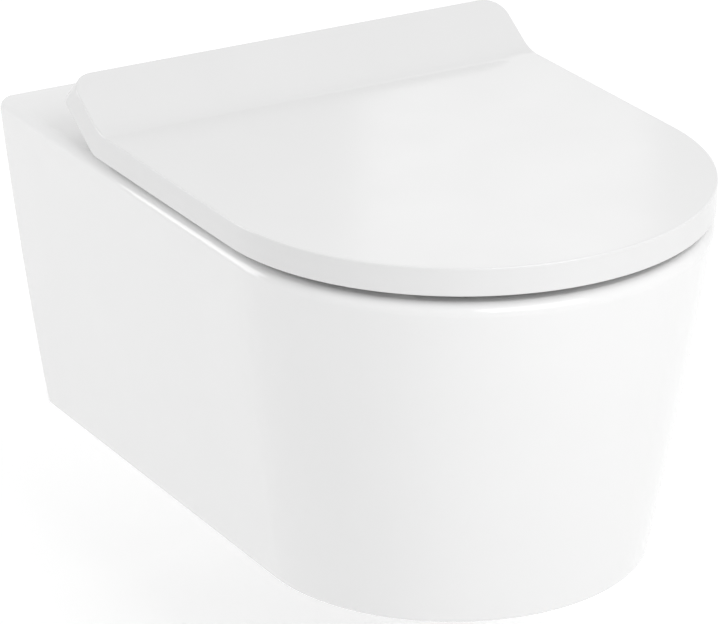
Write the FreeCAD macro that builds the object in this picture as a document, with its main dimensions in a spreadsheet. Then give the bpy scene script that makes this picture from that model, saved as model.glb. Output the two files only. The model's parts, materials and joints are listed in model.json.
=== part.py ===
import FreeCAD, Part
import math
import os

import Sketcher
from FreeCAD import Placement, Rotation, Vector

# A wall hung toilet. X runs across the pan, Y points into the wall and Z is up.
# The origin lies on the wall plane, midway between the two wall bolts.

doc = FreeCAD.newDocument("wall_hung_toilet")

# ---------------------------------------------------------------- driving dimensions, in mm

DIMENSIONS = {
    # the pan's outside
    "deck_level": 80,           # flat top of the ceramic above the wall bolts
    "skirt_drop": 252,          # deck to the foot's underside
    "deck_half": 176,           # half width at the deck
    "side_lean": 0.105,         # how fast the sides lean in, per mm below the deck
    "side_bow": 0.00012,        # and how the lean grows, per square mm
    "nose_centre": 364,         # wall to the centre of the round nose, at the deck
    "nose_shift": 0.048,        # how fast that centre draws back, per mm below the deck
    "wall": 11,                 # ceramic thickness of the skirt
    "deck_slab": 14,
    "foot_slab": 11,
    "back_wall": 14,
    "back_trim": 6,             # drawn past the wall plane, then cut flat
    "rim_round": 8,
    "foot_round": 4.5,
    # bowl and trapway
    "mouth_half": 130,
    "mouth_rear": 205,
    "mouth_front": 494,
    "mouth_round": 6,
    "mouth_lip": 8,             # upright stretch of the bowl's wall below the deck
    "sump_level": -160,
    "sump_half": 26,
    "sump_rear": 268,
    "sump_front": 328,
    "bowl_wall": 9,
    "trap_bore": 30,            # radius of the trapway
    "trap_bend": 46,            # radius of its centre line
    "trap_wall": 8,
    # connections
    "bolt_spacing": 180,        # wall bolts
    "bolt_hole": 12,            # radius in the ceramic
    "bolt_boss": 27,
    "bolt_boss_depth": 30,
    "outlet_drop": 100,         # outlet centre below the wall bolts
    "outlet_radius": 51,
    "outlet_bore": 42,
    "outlet_depth": 50,
    "arch_radius": 74,          # room in the back wall for the waste connector
    "inlet_rise": 35,           # flush inlet centre above the wall bolts
    "inlet_bore": 27.5,
    "inlet_wall": 9,
    "inlet_depth": 60,
    "duct_half": 40,            # flattened duct from the inlet to the bowl
    "duct_height": 22,
    "duct_level": 52,
    "duct_mouth": 212,
    "part_off": 2,              # how far a parting surface stands off the wall that it follows
    # flush distributor
    "tray_depth": 14,
    "tray_wall": 3,
    "tray_gap": 3,              # beside the tray in the duct
    "port_half": 12,
    "port_depth": 6,
    # concealed wall fixing
    "sleeve_radius": 11.9,
    "sleeve_bore": 6.5,
    "sleeve_collar": 17,
    "sleeve_collar_depth": 3,
    "clamp_width": 40,
    "clamp_depth": 28,
    "clamp_height": 40,
    "clamp_screw": 4,
    "clamp_screw_length": 34,
    "clamp_screw_tip": 13.5,    # from the stud's axis, along the screw
    "clamp_screw_head": 6,
    # seat bolts
    "seat_bolt_half": 77.5,     # half the distance between the seat bolts
    "seat_bolt_back": 130,      # wall to the seat bolts
    "seat_hole": 10,
    "seat_bolt": 3,
    "seat_bolt_head": 4.5,
    "seat_bolt_head_height": 4,
    "bolt_head_sink": 0.5,
    "bush_radius": 9.5,
    "bush_length": 34,
    "nut_radius": 8.5,
    "nut_height": 9,
    "gasket_radius": 17,
    "gasket_height": 1,
    "rosette_radius": 18,
    "rosette_height": 2,
    "post_radius": 6,
    "post_height": 25,
    "groove_radius": 4.8,
    "flange_radius": 9,
    "flange_height": 1,
    "groove_level": 9,          # groove centre above the rosette
    "groove_height": 2,
    "hex_socket": 2,
    # hinge blocks
    "axis_back": 125,           # wall to the hinge axis
    "axis_level": 101,          # hinge axis above the wall bolts
    "block_half": 15.5,
    "block_radius": 12.5,
    "block_front": 142,         # wall to the block's front face
    "block_back": 115,          # wall to the block's back face
    "block_foot": 84,
    "block_shoulder": 8.5,
    "running": 0.05,            # radial clearance of a pin that turns
    "pin_radius": 4,
    "pin_seat": 8,              # length of a pin held in the block
    "wire_radius": 0.8,
    "wire_gap": 5.65,           # post centre to each leg's centre
    "wire_front": 131,
    "wire_back": 118.6,
    "wire_room": 0.4,           # free space round the wire and the button
    "button_half": 6.6,
    "button_height": 6.2,
    "button_depth": 3.5,
    "button_travel": 3,
    "button_face": 112.5,
    "button_tip": 120.3,
    "wedge_tip_half": 3.6,
    # seat ring
    "ring_half": 170.5,
    "ring_nose": 359.4,
    "ring_back": 172,
    "ring_foot": 86,
    "ring_height": 12,
    "ring_round": 5,
    "ring_corner": 12,
    "hole_half": 112,           # half width of the seat's opening
    "hole_rear": 346,           # wall to the centre of its rear arc
    "hole_front": 358,
    "barrel_radius": 11,
    "barrel_gap": 0.5,          # between a barrel's end and the hinge block
    "barrel_length": 38,
    "damper_radius": 8,
    "damper_length": 34,
    "bush_outer": 6.5,
    # lid
    "lid_half": 178.5,
    "lid_nose": 359.4,
    "lid_top": 106.3,
    "lid_band": 20,
    "lid_skin": 5.5,
    "lid_wall": 6,
    "bend_back": 168,           # wall to where the flat top meets the ramp
    "ramp_end": 123,            # wall to the ramp's top edge
    "ramp_angle": 32.4,
    "bend_round": 38,
    "crease_back": 158.6,       # wall to where the band's lower edge turns up
    "ramp_depth": 22,
    "web_drop": 27.5,           # hinge axis below the ramp's face
    "lid_corner": 14,
    "notch_half": 19,           # gap in the lid's rear wall round each hinge block, inward
    "notch_outer": 15.5,        # and outward
    "notch_height": 13,
    # bumpers
    "bumper_radius": 9,
    "bumper_gap": 0.3,
    "bumper_stem": 3,
    "bumper_stem_length": 5,
    "lid_bumper_radius": 6,
    "lid_bumper_stem": 2,
    "lid_bumper_stem_length": 3,
}

sheet = doc.addObject("Spreadsheet::Sheet", "size")
for row, (alias, number) in enumerate(DIMENSIONS.items(), start=1):
    sheet.set("A%d" % row, alias)
    sheet.set("B%d" % row, str(number))
    sheet.setAlias("B%d" % row, alias)
doc.recompute()


def value(alias):
    """A driving dimension as a number."""
    return float(getattr(sheet, alias))


# ---------------------------------------------------------------- primitives bound to the sheet

ALONG = {
    "x": Rotation(Vector(0, 1, 0), 90),
    "y": Rotation(Vector(1, 0, 0), -90),
    "z": Rotation(),
}
parts = {}


def bind(thing, **formulas):
    for name, formula in formulas.items():
        thing.setExpression(name, str(formula))


def put(thing, base):
    """Bind the three coordinates of a primitive's corner or foot."""
    for axis, formula in zip("xyz", base):
        thing.setExpression("Placement.Base.%s" % axis, str(formula))


def cylinder(name, radius, length, base, along="z"):
    thing = doc.addObject("Part::Cylinder", name)
    thing.Placement = Placement(Vector(), ALONG[along])
    bind(thing, Radius=radius, Height=length)
    put(thing, base)
    return thing


def box(name, length, width, height, base):
    thing = doc.addObject("Part::Box", name)
    bind(thing, Length=length, Width=width, Height=height)
    put(thing, base)
    return thing


def prism(name, sides, radius, height, base):
    thing = doc.addObject("Part::Prism", name)
    thing.Polygon = sides
    bind(thing, Circumradius=radius, Height=height)
    put(thing, base)
    return thing


def fuse(name, *things):
    result = doc.addObject("Part::MultiFuse", name)
    result.Shapes = list(things)
    return result


def cut(name, base, *tools):
    tool = tools[0] if len(tools) == 1 else fuse(name + "_tools", *tools)
    result = doc.addObject("Part::Cut", name)
    result.Base = base
    result.Tool = tool
    return result


def common(name, first, second):
    result = doc.addObject("Part::Common", name)
    result.Base = first
    result.Tool = second
    return result


def keep(node, thing):
    """Name a finished piece after its node."""
    thing.Label = node
    parts[node] = thing
    return thing


def across(side, inner, outer):
    """The lower X of a stretch from inner to outer on the right (1) or left (-1) side."""
    return inner if side > 0 else "-(%s)" % outer


# ---------------------------------------------------------------- sketches and features

def new_body(name):
    return doc.addObject("PartDesign::Body", name)


def sketch_on(body, name, plane, level="0"):
    sketch = body.newObject("Sketcher::SketchObject", name)
    origin_plane = [f for f in body.Origin.OriginFeatures if f.Role == plane][0]
    sketch.AttachmentSupport = (origin_plane, "")
    sketch.MapMode = "FlatFace"
    sketch.setExpression("AttachmentOffset.Base.z", str(level))
    return sketch


def fix(sketch, kind, geometry, point, formula):
    """Hold a point's signed distance from the sketch's origin at a formula."""
    here = sketch.getPoint(geometry, point)
    now = here.x if kind == "DistanceX" else here.y
    index = sketch.addConstraint(Sketcher.Constraint(kind, -1, 1, geometry, point, now))
    sketch.setExpression("Constraints[%d]" % index, str(formula))


def circle(body, name, plane, centre, radius, level="0"):
    sketch = sketch_on(body, name, plane, level)
    sketch.addGeometry(Part.Circle(Vector(10, 10, 0), Vector(0, 0, 1), 5))
    fix(sketch, "DistanceX", 0, 3, centre[0])
    fix(sketch, "DistanceY", 0, 3, centre[1])
    index = sketch.addConstraint(Sketcher.Constraint("Radius", 0, 5))
    sketch.setExpression("Constraints[%d]" % index, str(radius))
    return sketch


def polygon(body, name, plane, corners):
    """A closed outline with straight sides, each corner at its own pair of formulas."""
    sketch = sketch_on(body, name, plane)
    count = len(corners)
    start = [Vector(50 * math.cos(2 * math.pi * k / count), 50 * math.sin(2 * math.pi * k / count), 0)
             for k in range(count)]
    for k in range(count):
        sketch.addGeometry(Part.LineSegment(start[k], start[(k + 1) % count]))
    for k, (along, up) in enumerate(corners):
        sketch.addConstraint(Sketcher.Constraint("Coincident", k, 2, (k + 1) % count, 1))
        fix(sketch, "DistanceX", k, 1, along)
        fix(sketch, "DistanceY", k, 1, up)
    return sketch


def oblong(body, name, plane, level, half, low, high, round_low=True, round_high=True):
    """An outline 2 * half wide from low to high, each end a half circle about it or straight."""
    sketch = sketch_on(body, name, plane, level)
    ends = []
    for place, rounded, start in ((-60, round_low, math.pi), (60, round_high, 0)):
        turn = Part.Circle(Vector(0, place, 0), Vector(0, 0, 1), 30)
        side = -30 if place < 0 else 30
        flat = Part.LineSegment(Vector(side, place, 0), Vector(-side, place, 0))
        ends.append(Part.ArcOfCircle(turn, start, start + math.pi) if rounded else flat)
    sketch.addGeometry(ends[0])
    sketch.addGeometry(Part.LineSegment(Vector(30, -60, 0), Vector(30, 60, 0)))
    sketch.addGeometry(ends[1])
    sketch.addGeometry(Part.LineSegment(Vector(-30, 60, 0), Vector(-30, -60, 0)))
    for k in range(4):
        sketch.addConstraint(Sketcher.Constraint("Coincident", k, 2, (k + 1) % 4, 1))
    for line, point, sign, place in ((1, 1, "", low), (1, 2, "", high),
                                     (3, 1, "-", high), (3, 2, "-", low)):
        fix(sketch, "DistanceX", line, point, "%s(%s)" % (sign, half))
        fix(sketch, "DistanceY", line, point, place)
    for end, rounded, place in ((0, round_low, low), (2, round_high, high)):
        if rounded:
            fix(sketch, "DistanceY", end, 3, place)
    return sketch


def loft(body, name, sketches, kind="Additive"):
    feature = body.newObject("PartDesign::%sLoft" % kind, name)
    feature.Profile = sketches[0]
    feature.Sections = sketches[1:]
    return feature


def pad(body, name, sketch, length, midplane=False):
    feature = body.newObject("PartDesign::Pad", name)
    feature.Profile = sketch
    feature.Midplane = midplane
    bind(feature, Length=length)
    return feature


def pocket(body, name, sketch, length, midplane=False):
    feature = body.newObject("PartDesign::Pocket", name)
    feature.Profile = sketch
    feature.Midplane = midplane
    bind(feature, Length=length)
    return feature


def pipe(body, name, profile, spine, kind="Additive"):
    feature = body.newObject("PartDesign::%sPipe" % kind, name)
    feature.Profile = profile
    feature.Spine = spine
    return feature


def edges_where(thing, test):
    """The names of the edges whose middle point passes the test."""
    names = []
    for k, edge in enumerate(thing.Shape.Edges, start=1):
        middle = edge.valueAt((edge.FirstParameter + edge.LastParameter) / 2)
        if test(middle, edge):
            names.append("Edge%d" % k)
    return names


def round_off(body, name, base, test, radius):
    """A fillet on the edges that pass the test."""
    doc.recompute()
    feature = body.newObject("PartDesign::Fillet", name)
    feature.Base = (base, edges_where(base, test))
    bind(feature, Radius=radius)
    return feature


def rounded_path(points, radius):
    """Straight runs through the points, with an arc of one radius at each inner point."""
    pieces = []
    here = Vector(*points[0], 0)
    for before, at, after in zip(points, points[1:], points[2:]):
        corner = Vector(*at, 0)
        back = (Vector(*before, 0) - corner).normalize()
        on = (Vector(*after, 0) - corner).normalize()
        half_turn = (math.pi - back.getAngle(on)) / 2
        reach = radius * math.tan(half_turn)
        inward = (back + on).normalize()
        middle = corner + inward * (radius / math.cos(half_turn) - radius)
        start, end = corner + back * reach, corner + on * reach
        pieces.append(Part.LineSegment(here, start))
        pieces.append(Part.Arc(start, middle, end))
        here = end
    pieces.append(Part.LineSegment(here, Vector(*points[-1], 0)))
    return pieces


def path_sketch(body, name, plane, points, radius, level="0"):
    sketch = sketch_on(body, name, plane, level)
    for piece in rounded_path(points, radius):
        sketch.addGeometry(piece)
    return sketch


def side_block(name, side, inner, outer, corners):
    """A prism with its outline in the YZ plane, from inner to outer on one side."""
    body = new_body(name)
    outline = polygon(body, name + "_outline", "YZ_Plane", corners)
    outline.setExpression("AttachmentOffset.Base.z", across(side, inner, outer))
    pad(body, name + "_pad", outline, "(%s) - (%s)" % (outer, inner))
    return body


def side_cylinder(name, side, radius, inner, outer):
    """A cylinder on the hinge axis from inner to outer on one side."""
    length = "(%s) - (%s)" % (outer, inner)
    base = (across(side, inner, outer), "-size.axis_back", "size.axis_level")
    return cylinder(name, radius, length, base, "x")


# ---------------------------------------------------------------- the ceramic pan

def half_at(depth):
    """Half width of the skirt at a depth below the deck."""
    return "(size.deck_half - size.side_lean * (%s) - size.side_bow * (%s)^2)" % (depth, depth)


def nose_at(depth):
    return "-(size.nose_centre - size.nose_shift * (%s))" % depth


def skirt_section(body, name, depth, inset, back):
    half = "%s - %s" % (half_at(depth), inset)
    level = "size.deck_level - (%s)" % depth
    return oblong(body, name, "XY_Plane", level, half, nose_at(depth), back, round_high=False)


# Fractions of the bowl's depth at which its sections are drawn.
BOWL_STEPS = (0, 0.2, 0.45, 0.68, 0.86, 1)


def bowl_section(body, name, step, grow, extra_depth="0"):
    """One section of the bowl: wide at the deck, small at the sump, steeper behind than in front."""
    swell = 1 - step ** 1.6
    rear_swell = 1 - step ** 1.1
    start = "(size.deck_level - size.mouth_lip)"
    level = "%s - %s * (%s - size.sump_level) - %s" % (start, step, start, extra_depth)
    half = "size.sump_half + %s * (size.mouth_half - size.sump_half) + %s" % (swell, grow)
    rear = "-(size.sump_rear - %s * (size.sump_rear - size.mouth_rear)) + %s" % (rear_swell, grow)
    front = "-(size.sump_front + %s * (size.mouth_front - size.sump_front)) - (%s)" % (swell, grow)
    low = "%s + (%s)" % (front, half)
    high = "%s - (%s)" % (rear, half)
    return oblong(body, name, "XY_Plane", level, half, low, high)


def ceramic_pan():
    body = new_body("ceramic_pan_body")
    depths = ("0", "size.skirt_drop / 2", "size.skirt_drop")
    outer = [skirt_section(body, "outer_%d" % k, depth, "0", "size.back_trim")
             for k, depth in enumerate(depths)]
    skirt = loft(body, "skirt", outer)
    deck = value("deck_level")
    foot = deck - value("skirt_drop")
    wrapped = round_off(body, "rim_fillet", skirt,
                        lambda p, e: abs(p.z - deck) < 0.01 and p.y < -1, "size.rim_round")
    round_off(body, "foot_fillet", wrapped,
              lambda p, e: abs(p.z - foot) < 0.01 and p.y < -1, "size.foot_round")
    side, low, high = "size.deck_half + 10", "-size.skirt_drop", "size.deck_level + 10"
    past = polygon(body, "past_wall", "XZ_Plane",
                   (("-(%s)" % side, low), (side, low), (side, high), ("-(%s)" % side, high)))
    pocket(body, "wall_trim", past, "size.back_trim + 1")

    depths = ("size.deck_slab", "size.skirt_drop / 2", "size.skirt_drop - size.foot_slab")
    inner = [skirt_section(body, "inner_%d" % k, depth, "size.wall", "-size.back_wall")
             for k, depth in enumerate(depths)]
    loft(body, "hollow", inner, "Subtractive")
    room = oblong(body, "connector_room", "XZ_Plane", "0", "size.arch_radius",
                  "-size.skirt_drop", "-size.outlet_drop", round_low=False)
    pocket(body, "connector_arch", room, "2 * size.back_wall + 2", midplane=True)

    shell = [bowl_section(body, "shell_%d" % k, step, "size.bowl_wall",
                          "size.bowl_wall" if step else "0")
             for k, step in enumerate(BOWL_STEPS)]
    loft(body, "bowl_shell", shell)
    spine = path_sketch(body, "trap_line", "YZ_Plane", TRAP_LINE, value("trap_bend"))
    start = ("0", str(TRAP_LINE[0][1]))
    tube = circle(body, "trap_outside", "XZ_Plane", start, "size.trap_bore + size.trap_wall",
                  str(-TRAP_LINE[0][0]))
    pipe(body, "trap_tube", tube, spine)
    outlet = ("0", "-size.outlet_drop")
    inlet = ("0", "size.inlet_rise")
    pad(body, "outlet_spigot", circle(body, "spigot_outside", "XZ_Plane", outlet, "size.outlet_radius"),
        "size.outlet_depth")
    pad(body, "inlet_socket",
        circle(body, "socket_outside", "XZ_Plane", inlet, "size.inlet_bore + size.inlet_wall"),
        "size.inlet_depth")
    pad(body, "duct_shell", duct_sketch(body, "duct_outside", "size.inlet_wall - 1"), "size.duct_mouth - 5")
    for side, label in ((-1, "left"), (1, "right")):
        centre = ("%d * size.bolt_spacing / 2" % side, "0")
        boss = circle(body, "boss_" + label, "XZ_Plane", centre, "size.bolt_boss")
        pad(body, "bolt_boss_" + label, boss, "size.bolt_boss_depth")

    hollow = [bowl_section(body, "bowl_%d" % k, step, "0") for k, step in enumerate(BOWL_STEPS)]
    loft(body, "bowl", hollow, "Subtractive")
    rim = oblong(body, "mouth_outline", "XY_Plane", "size.deck_level", "size.mouth_half",
                 "-(size.mouth_front - size.mouth_half)", "-(size.mouth_rear + size.mouth_half)")
    mouth = pocket(body, "mouth", rim, "size.mouth_lip")
    round_off(body, "mouth_fillet", mouth,
              lambda p, e: abs(p.z - deck) < 0.01 and abs(p.x) < value("mouth_half") + 1
              and -value("mouth_front") - 1 < p.y < -value("mouth_rear") + 1, "size.mouth_round")
    bore = circle(body, "trap_inside", "XZ_Plane", start, "size.trap_bore", str(-TRAP_LINE[0][0]))
    pipe(body, "trap_bore", bore, spine, "Subtractive")
    pocket(body, "outlet_bore", circle(body, "outlet_inside", "XZ_Plane", outlet, "size.outlet_bore"),
           "2 * (size.outlet_depth - 15)", midplane=True)
    pocket(body, "inlet_bore", circle(body, "inlet_inside", "XZ_Plane", inlet, "size.inlet_bore"),
           "2 * size.inlet_depth", midplane=True)
    channel = duct_sketch(body, "duct_inside", "0")
    channel.setExpression("AttachmentOffset.Base.z", "size.duct_mouth + 10")
    pocket(body, "duct_channel", channel, "size.duct_mouth + 12 - size.inlet_depth")
    for side, label in ((-1, "left"), (1, "right")):
        centre = ("%d * size.bolt_spacing / 2" % side, "0")
        hole = circle(body, "hole_" + label, "XZ_Plane", centre, "size.bolt_hole")
        pocket(body, "bolt_hole_" + label, hole, "2 * size.bolt_boss_depth + 2", midplane=True)
        centre = ("%d * size.seat_bolt_half" % side, "-size.seat_bolt_back")
        pocket(body, "seat_hole_" + label,
               circle(body, "seat_" + label, "XY_Plane", centre, "size.seat_hole", "size.deck_level"),
               "size.deck_slab + 1")
    return body


def region(name, half, back, front, low, high):
    """A box across the middle, from back to front of the pan and from low to high."""
    depth, height = "(%s) - (%s)" % (back, front), "(%s) - (%s)" % (high, low)
    return box(name, "2 * (%s)" % half, depth, height, ("-(%s)" % half, front, low))


def pan_solids():
    """The casting in eleven solids, parted where deck, foot, bowl, inlet, duct, outlet and walls meet."""
    rest = ceramic_pan()
    half, front = "size.deck_half + 10", "-size.nose_centre - size.deck_half - 10"
    shell = "size.bowl_wall + size.part_off"
    foot = "size.deck_level - size.skirt_drop"
    under_deck, above_foot = "size.deck_level - size.deck_slab", foot + " + size.foot_slab"
    bowl = new_body("bowl_region")
    around = [bowl_section(bowl, "around_%d" % k, step, shell, "(%s)" % shell if step else "0")
              for k, step in enumerate(BOWL_STEPS)]
    loft(bowl, "bowl_region_loft", around)
    duct_half = "size.duct_half + size.inlet_wall + size.part_off"
    duct_low = "size.duct_level - size.duct_height / 2 - size.inlet_wall - size.part_off"
    duct = region("duct_region", duct_half, "-size.inlet_depth", "-size.duct_mouth", duct_low, under_deck)
    socket = fuse("inlet_region",
                  region("duct_end_region", duct_half, 0, "-size.inlet_depth", duct_low, under_deck),
                  cylinder("socket_region", "size.inlet_bore + size.inlet_wall + size.part_off",
                           "size.inlet_depth", (0, "-size.inlet_depth", "size.inlet_rise"), "y"))
    spigot = cylinder("spigot_region", "size.outlet_radius + size.part_off", "size.outlet_depth",
                      (0, "-size.outlet_depth", "-size.outlet_drop"), "y")
    pipe_half = "size.trap_bore + size.trap_wall + size.part_off"
    pipe_top = "%s + %s" % (TRAP_LINE[2][1], pipe_half)
    trap = region("trap_region", pipe_half, "-size.back_wall", TRAP_LINE[0][0], above_foot, pipe_top)
    nose = "-size.nose_centre + size.nose_shift * size.skirt_drop"
    for node, where in (
            ("pan_deck", region("deck_region", half, 1, front, under_deck, "size.deck_level + 1")),
            ("pan_foot", region("foot_region", half, 1, front, foot + " - 1", above_foot)),
            ("pan_bowl", bowl),
            ("pan_duct", duct),
            ("pan_inlet", socket),
            ("pan_spigot", spigot),
            ("pan_trapway", trap),
            ("pan_back", region("back_region", "size.deck_half - 45", 1, "-size.bolt_boss_depth - 1",
                                above_foot, under_deck)),
            ("pan_nose", region("nose_region", half, nose, front, above_foot, under_deck)),
            ("pan_skirt_left", box("left_region", half, 400, 300, ("-(%s)" % half, nose, above_foot)))):
        keep(node, common(node + "_solid", rest, where))
        rest = cut(node + "_rest", rest, where)
    keep("pan_skirt_right", rest)


def duct_sketch(body, name, grow):
    """The flattened flush duct's section, square-cornered, grown by its wall."""
    half = "size.duct_half + %s" % grow
    low = "size.duct_level - size.duct_height / 2 - (%s)" % grow
    high = "size.duct_level + size.duct_height / 2 + %s" % grow
    corners = (("-(%s)" % half, low), (half, low), (half, high), ("-(%s)" % half, high))
    return polygon(body, name, "XZ_Plane", corners)


# Y and Z of the trapway's centre line: under the bowl's rear wall, over the weir, out to the wall.
TRAP_LINE = ((-300, -127), (-231, -127), (-171, -17), (-115, -17), (-74, -100), (-20, -100))


def flush_distributor():
    """An open-backed tray in the duct's mouth, with a port ahead and one to each side."""
    half = "(size.duct_half - size.tray_gap)"
    wall = "size.tray_wall"
    low = "size.duct_level - size.duct_height / 2 + 2"
    tall = "size.duct_height - 4"
    front = "-size.duct_mouth - 8"
    port = "%s - 2 * size.tray_wall - 4" % tall
    port_foot = "%s + size.tray_wall + 2" % low
    tray = box("tray", "2 * " + half, "size.tray_depth", tall, ("-" + half, front, low))
    inside = box("tray_inside", "2 * (%s - %s)" % (half, wall), "size.tray_depth",
                 "%s - 2 * %s" % (tall, wall),
                 ("%s - %s" % (wall, half), "%s + %s" % (front, wall), "%s + %s" % (low, wall)))
    sides = box("side_ports", "2 * %s + 2" % half, "size.port_depth", port,
                ("-%s - 1" % half, "%s + %s" % (front, wall), port_foot))
    ahead = box("front_port", "2 * size.port_half", "size.port_depth", port,
                ("-size.port_half", front + " - 1", port_foot))
    keep("flush_distributor", cut("flush_distributor_cut", tray, inside, sides, ahead))


# ---------------------------------------------------------------- concealed wall fixing

def wall_fixing(side, label):
    """A sleeve in the ceramic's bolt hole and the clamp that grips the wall bolt behind it."""
    centre = "%d * size.bolt_spacing / 2" % side
    inner_end = "-size.bolt_boss_depth - size.sleeve_collar_depth"
    length = "size.bolt_boss_depth + size.sleeve_collar_depth"
    foot = (centre, inner_end, 0)
    tube = cylinder("sleeve_" + label, "size.sleeve_radius", length, foot, "y")
    collar = cylinder("collar_" + label, "size.sleeve_collar", "size.sleeve_collar_depth", foot, "y")
    bore = cylinder("sleeve_bore_" + label, "size.sleeve_bore", length, foot, "y")
    sleeve = fuse("sleeve_body_" + label, tube, collar)
    keep("stud_sleeve_" + label, cut("stud_sleeve_cut_" + label, sleeve, bore))

    back = "%s - 0.2 - size.clamp_depth" % inner_end
    block = box("clamp_block_" + label, "size.clamp_width", "size.clamp_depth", "size.clamp_height",
                (centre + " - size.clamp_width / 2", back, "-size.clamp_height / 2"))
    stud = cylinder("clamp_bore_" + label, "size.sleeve_bore", "size.clamp_depth", (centre, back, 0), "y")
    thread = doc.addObject("Part::Cylinder", "clamp_thread_" + label)
    bind(thread, Radius="size.clamp_screw + size.running", Height="size.clamp_screw_length + 20")
    thread.Placement = clamp_screw_place(side, 0)
    keep("fixing_clamp_" + label, cut("fixing_clamp_cut_" + label, block, stud, thread))


def clamp_screw_place(side, along):
    """A place on the line from a clamp's middle up to the seat bolt hole above it."""
    middle = value("bolt_boss_depth") + value("sleeve_collar_depth") + value("clamp_depth") / 2
    start = Vector(side * value("bolt_spacing") / 2, -middle, 0)
    target = Vector(side * value("seat_bolt_half"), -value("seat_bolt_back"), value("deck_level"))
    aim = (target - start).normalize()
    return Placement(start + aim * along, Rotation(Vector(0, 0, 1), aim))


def fixing_screws():
    """Both clamp screws: a hexagon key comes down on each through a seat bolt hole."""
    tip = value("clamp_screw_tip")
    top = tip + value("clamp_screw_length")
    screws = []
    for side, label in SIDES:
        shank = doc.addObject("Part::Cylinder", "screw_shank_" + label)
        bind(shank, Radius="size.clamp_screw", Height="size.clamp_screw_length")
        shank.Placement = clamp_screw_place(side, tip)
        head = doc.addObject("Part::Cylinder", "screw_head_" + label)
        bind(head, Radius="size.clamp_screw_head", Height="size.clamp_screw_head")
        head.Placement = clamp_screw_place(side, top)
        socket = doc.addObject("Part::Prism", "screw_socket_" + label)
        bind(socket, Circumradius="size.clamp_screw - 1", Height="size.clamp_screw_head")
        socket.Placement = clamp_screw_place(side, top + 2)
        screws.append(cut("screw_" + label, fuse("screw_body_" + label, shank, head), socket))
    pair = doc.addObject("Part::Compound", "fixing_screws_pair")
    pair.Links = screws
    keep("fixing_screws", pair)


# ---------------------------------------------------------------- seat bolts and hinge posts

def seat_bolt(side, label):
    """The stack at one seat bolt hole, from the nut under the deck to the grooved post."""
    x, y = "%d * size.seat_bolt_half" % side, "-size.seat_bolt_back"
    bush_foot = "size.deck_level - size.bush_length"
    nut_foot = bush_foot + " - size.nut_height"
    post_foot = "size.deck_level + size.gasket_height"
    post_length = "size.rosette_height + size.post_height"
    head_foot = "%s + %s - size.seat_bolt_head_height - size.bolt_head_sink" % (post_foot, post_length)
    loose_bolt = "size.seat_bolt + size.running"

    def rod(name, radius, length, foot):
        return cylinder("%s_%s" % (name, label), radius, length, (x, y, foot))

    def ring(name, radius, length, foot, bore=loose_bolt):
        disc = rod(name + "_disc", radius, length, foot)
        return cut("%s_cut_%s" % (name, label), disc, rod(name + "_hole", bore, length, foot))

    keep("hinge_bush_" + label, ring("hinge_bush", "size.bush_radius", "size.bush_length", bush_foot))
    nut = prism("nut_" + label, 6, "size.nut_radius", "size.nut_height", (x, y, nut_foot))
    nut_bore = rod("nut_bore", loose_bolt, "size.nut_height", nut_foot)
    keep("hinge_nut_" + label, cut("hinge_nut_cut_" + label, nut, nut_bore))
    keep("hinge_gasket_" + label, ring("hinge_gasket", "size.gasket_radius", "size.gasket_height",
                                       "size.deck_level"))

    rosette = ring("hinge_rosette", "size.rosette_radius", "size.rosette_height", post_foot,
                   "size.post_radius + size.running")
    recess = rod("rosette_recess", "size.flange_radius + size.running",
                 "size.flange_height + size.running", post_foot)
    keep("hinge_rosette_" + label, cut("hinge_rosette_" + label, rosette, recess))

    stem = rod("post_stem", "size.post_radius", post_length, post_foot)
    flange = rod("post_flange", "size.flange_radius", "size.flange_height", post_foot)
    bore = rod("post_bore", loose_bolt, post_length, post_foot)
    counterbore = rod("post_counterbore", "size.seat_bolt_head + 4 * size.running",
                      "size.seat_bolt_head_height + 1", head_foot)
    groove_foot = post_foot + " + size.rosette_height + size.groove_level - size.groove_height / 2"
    band = rod("groove_band", "size.post_radius + 1", "size.groove_height", groove_foot)
    core = rod("groove_core", "size.groove_radius", "size.groove_height", groove_foot)
    post = fuse("post_body_" + label, stem, flange)
    keep("hinge_post_" + label, cut("hinge_post_" + label, post, bore, counterbore,
                                    cut("groove_" + label, band, core)))

    shank = rod("bolt_shank", "size.seat_bolt", "(%s) - (%s)" % (head_foot, nut_foot), nut_foot)
    head = rod("bolt_head", "size.seat_bolt_head", "size.seat_bolt_head_height", head_foot)
    socket = prism("bolt_socket_" + label, 6, "size.hex_socket", "size.seat_bolt_head_height",
                   (x, y, head_foot + " + size.seat_bolt_head_height / 3"))
    bolt = fuse("bolt_body_" + label, shank, head)
    keep("hinge_bolt_" + label, cut("hinge_bolt_cut_" + label, bolt, socket))


# ---------------------------------------------------------------- lift-off hinge blocks

WIRE_LEVEL = "(size.deck_level + size.gasket_height + size.rosette_height + size.groove_level)"


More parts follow.
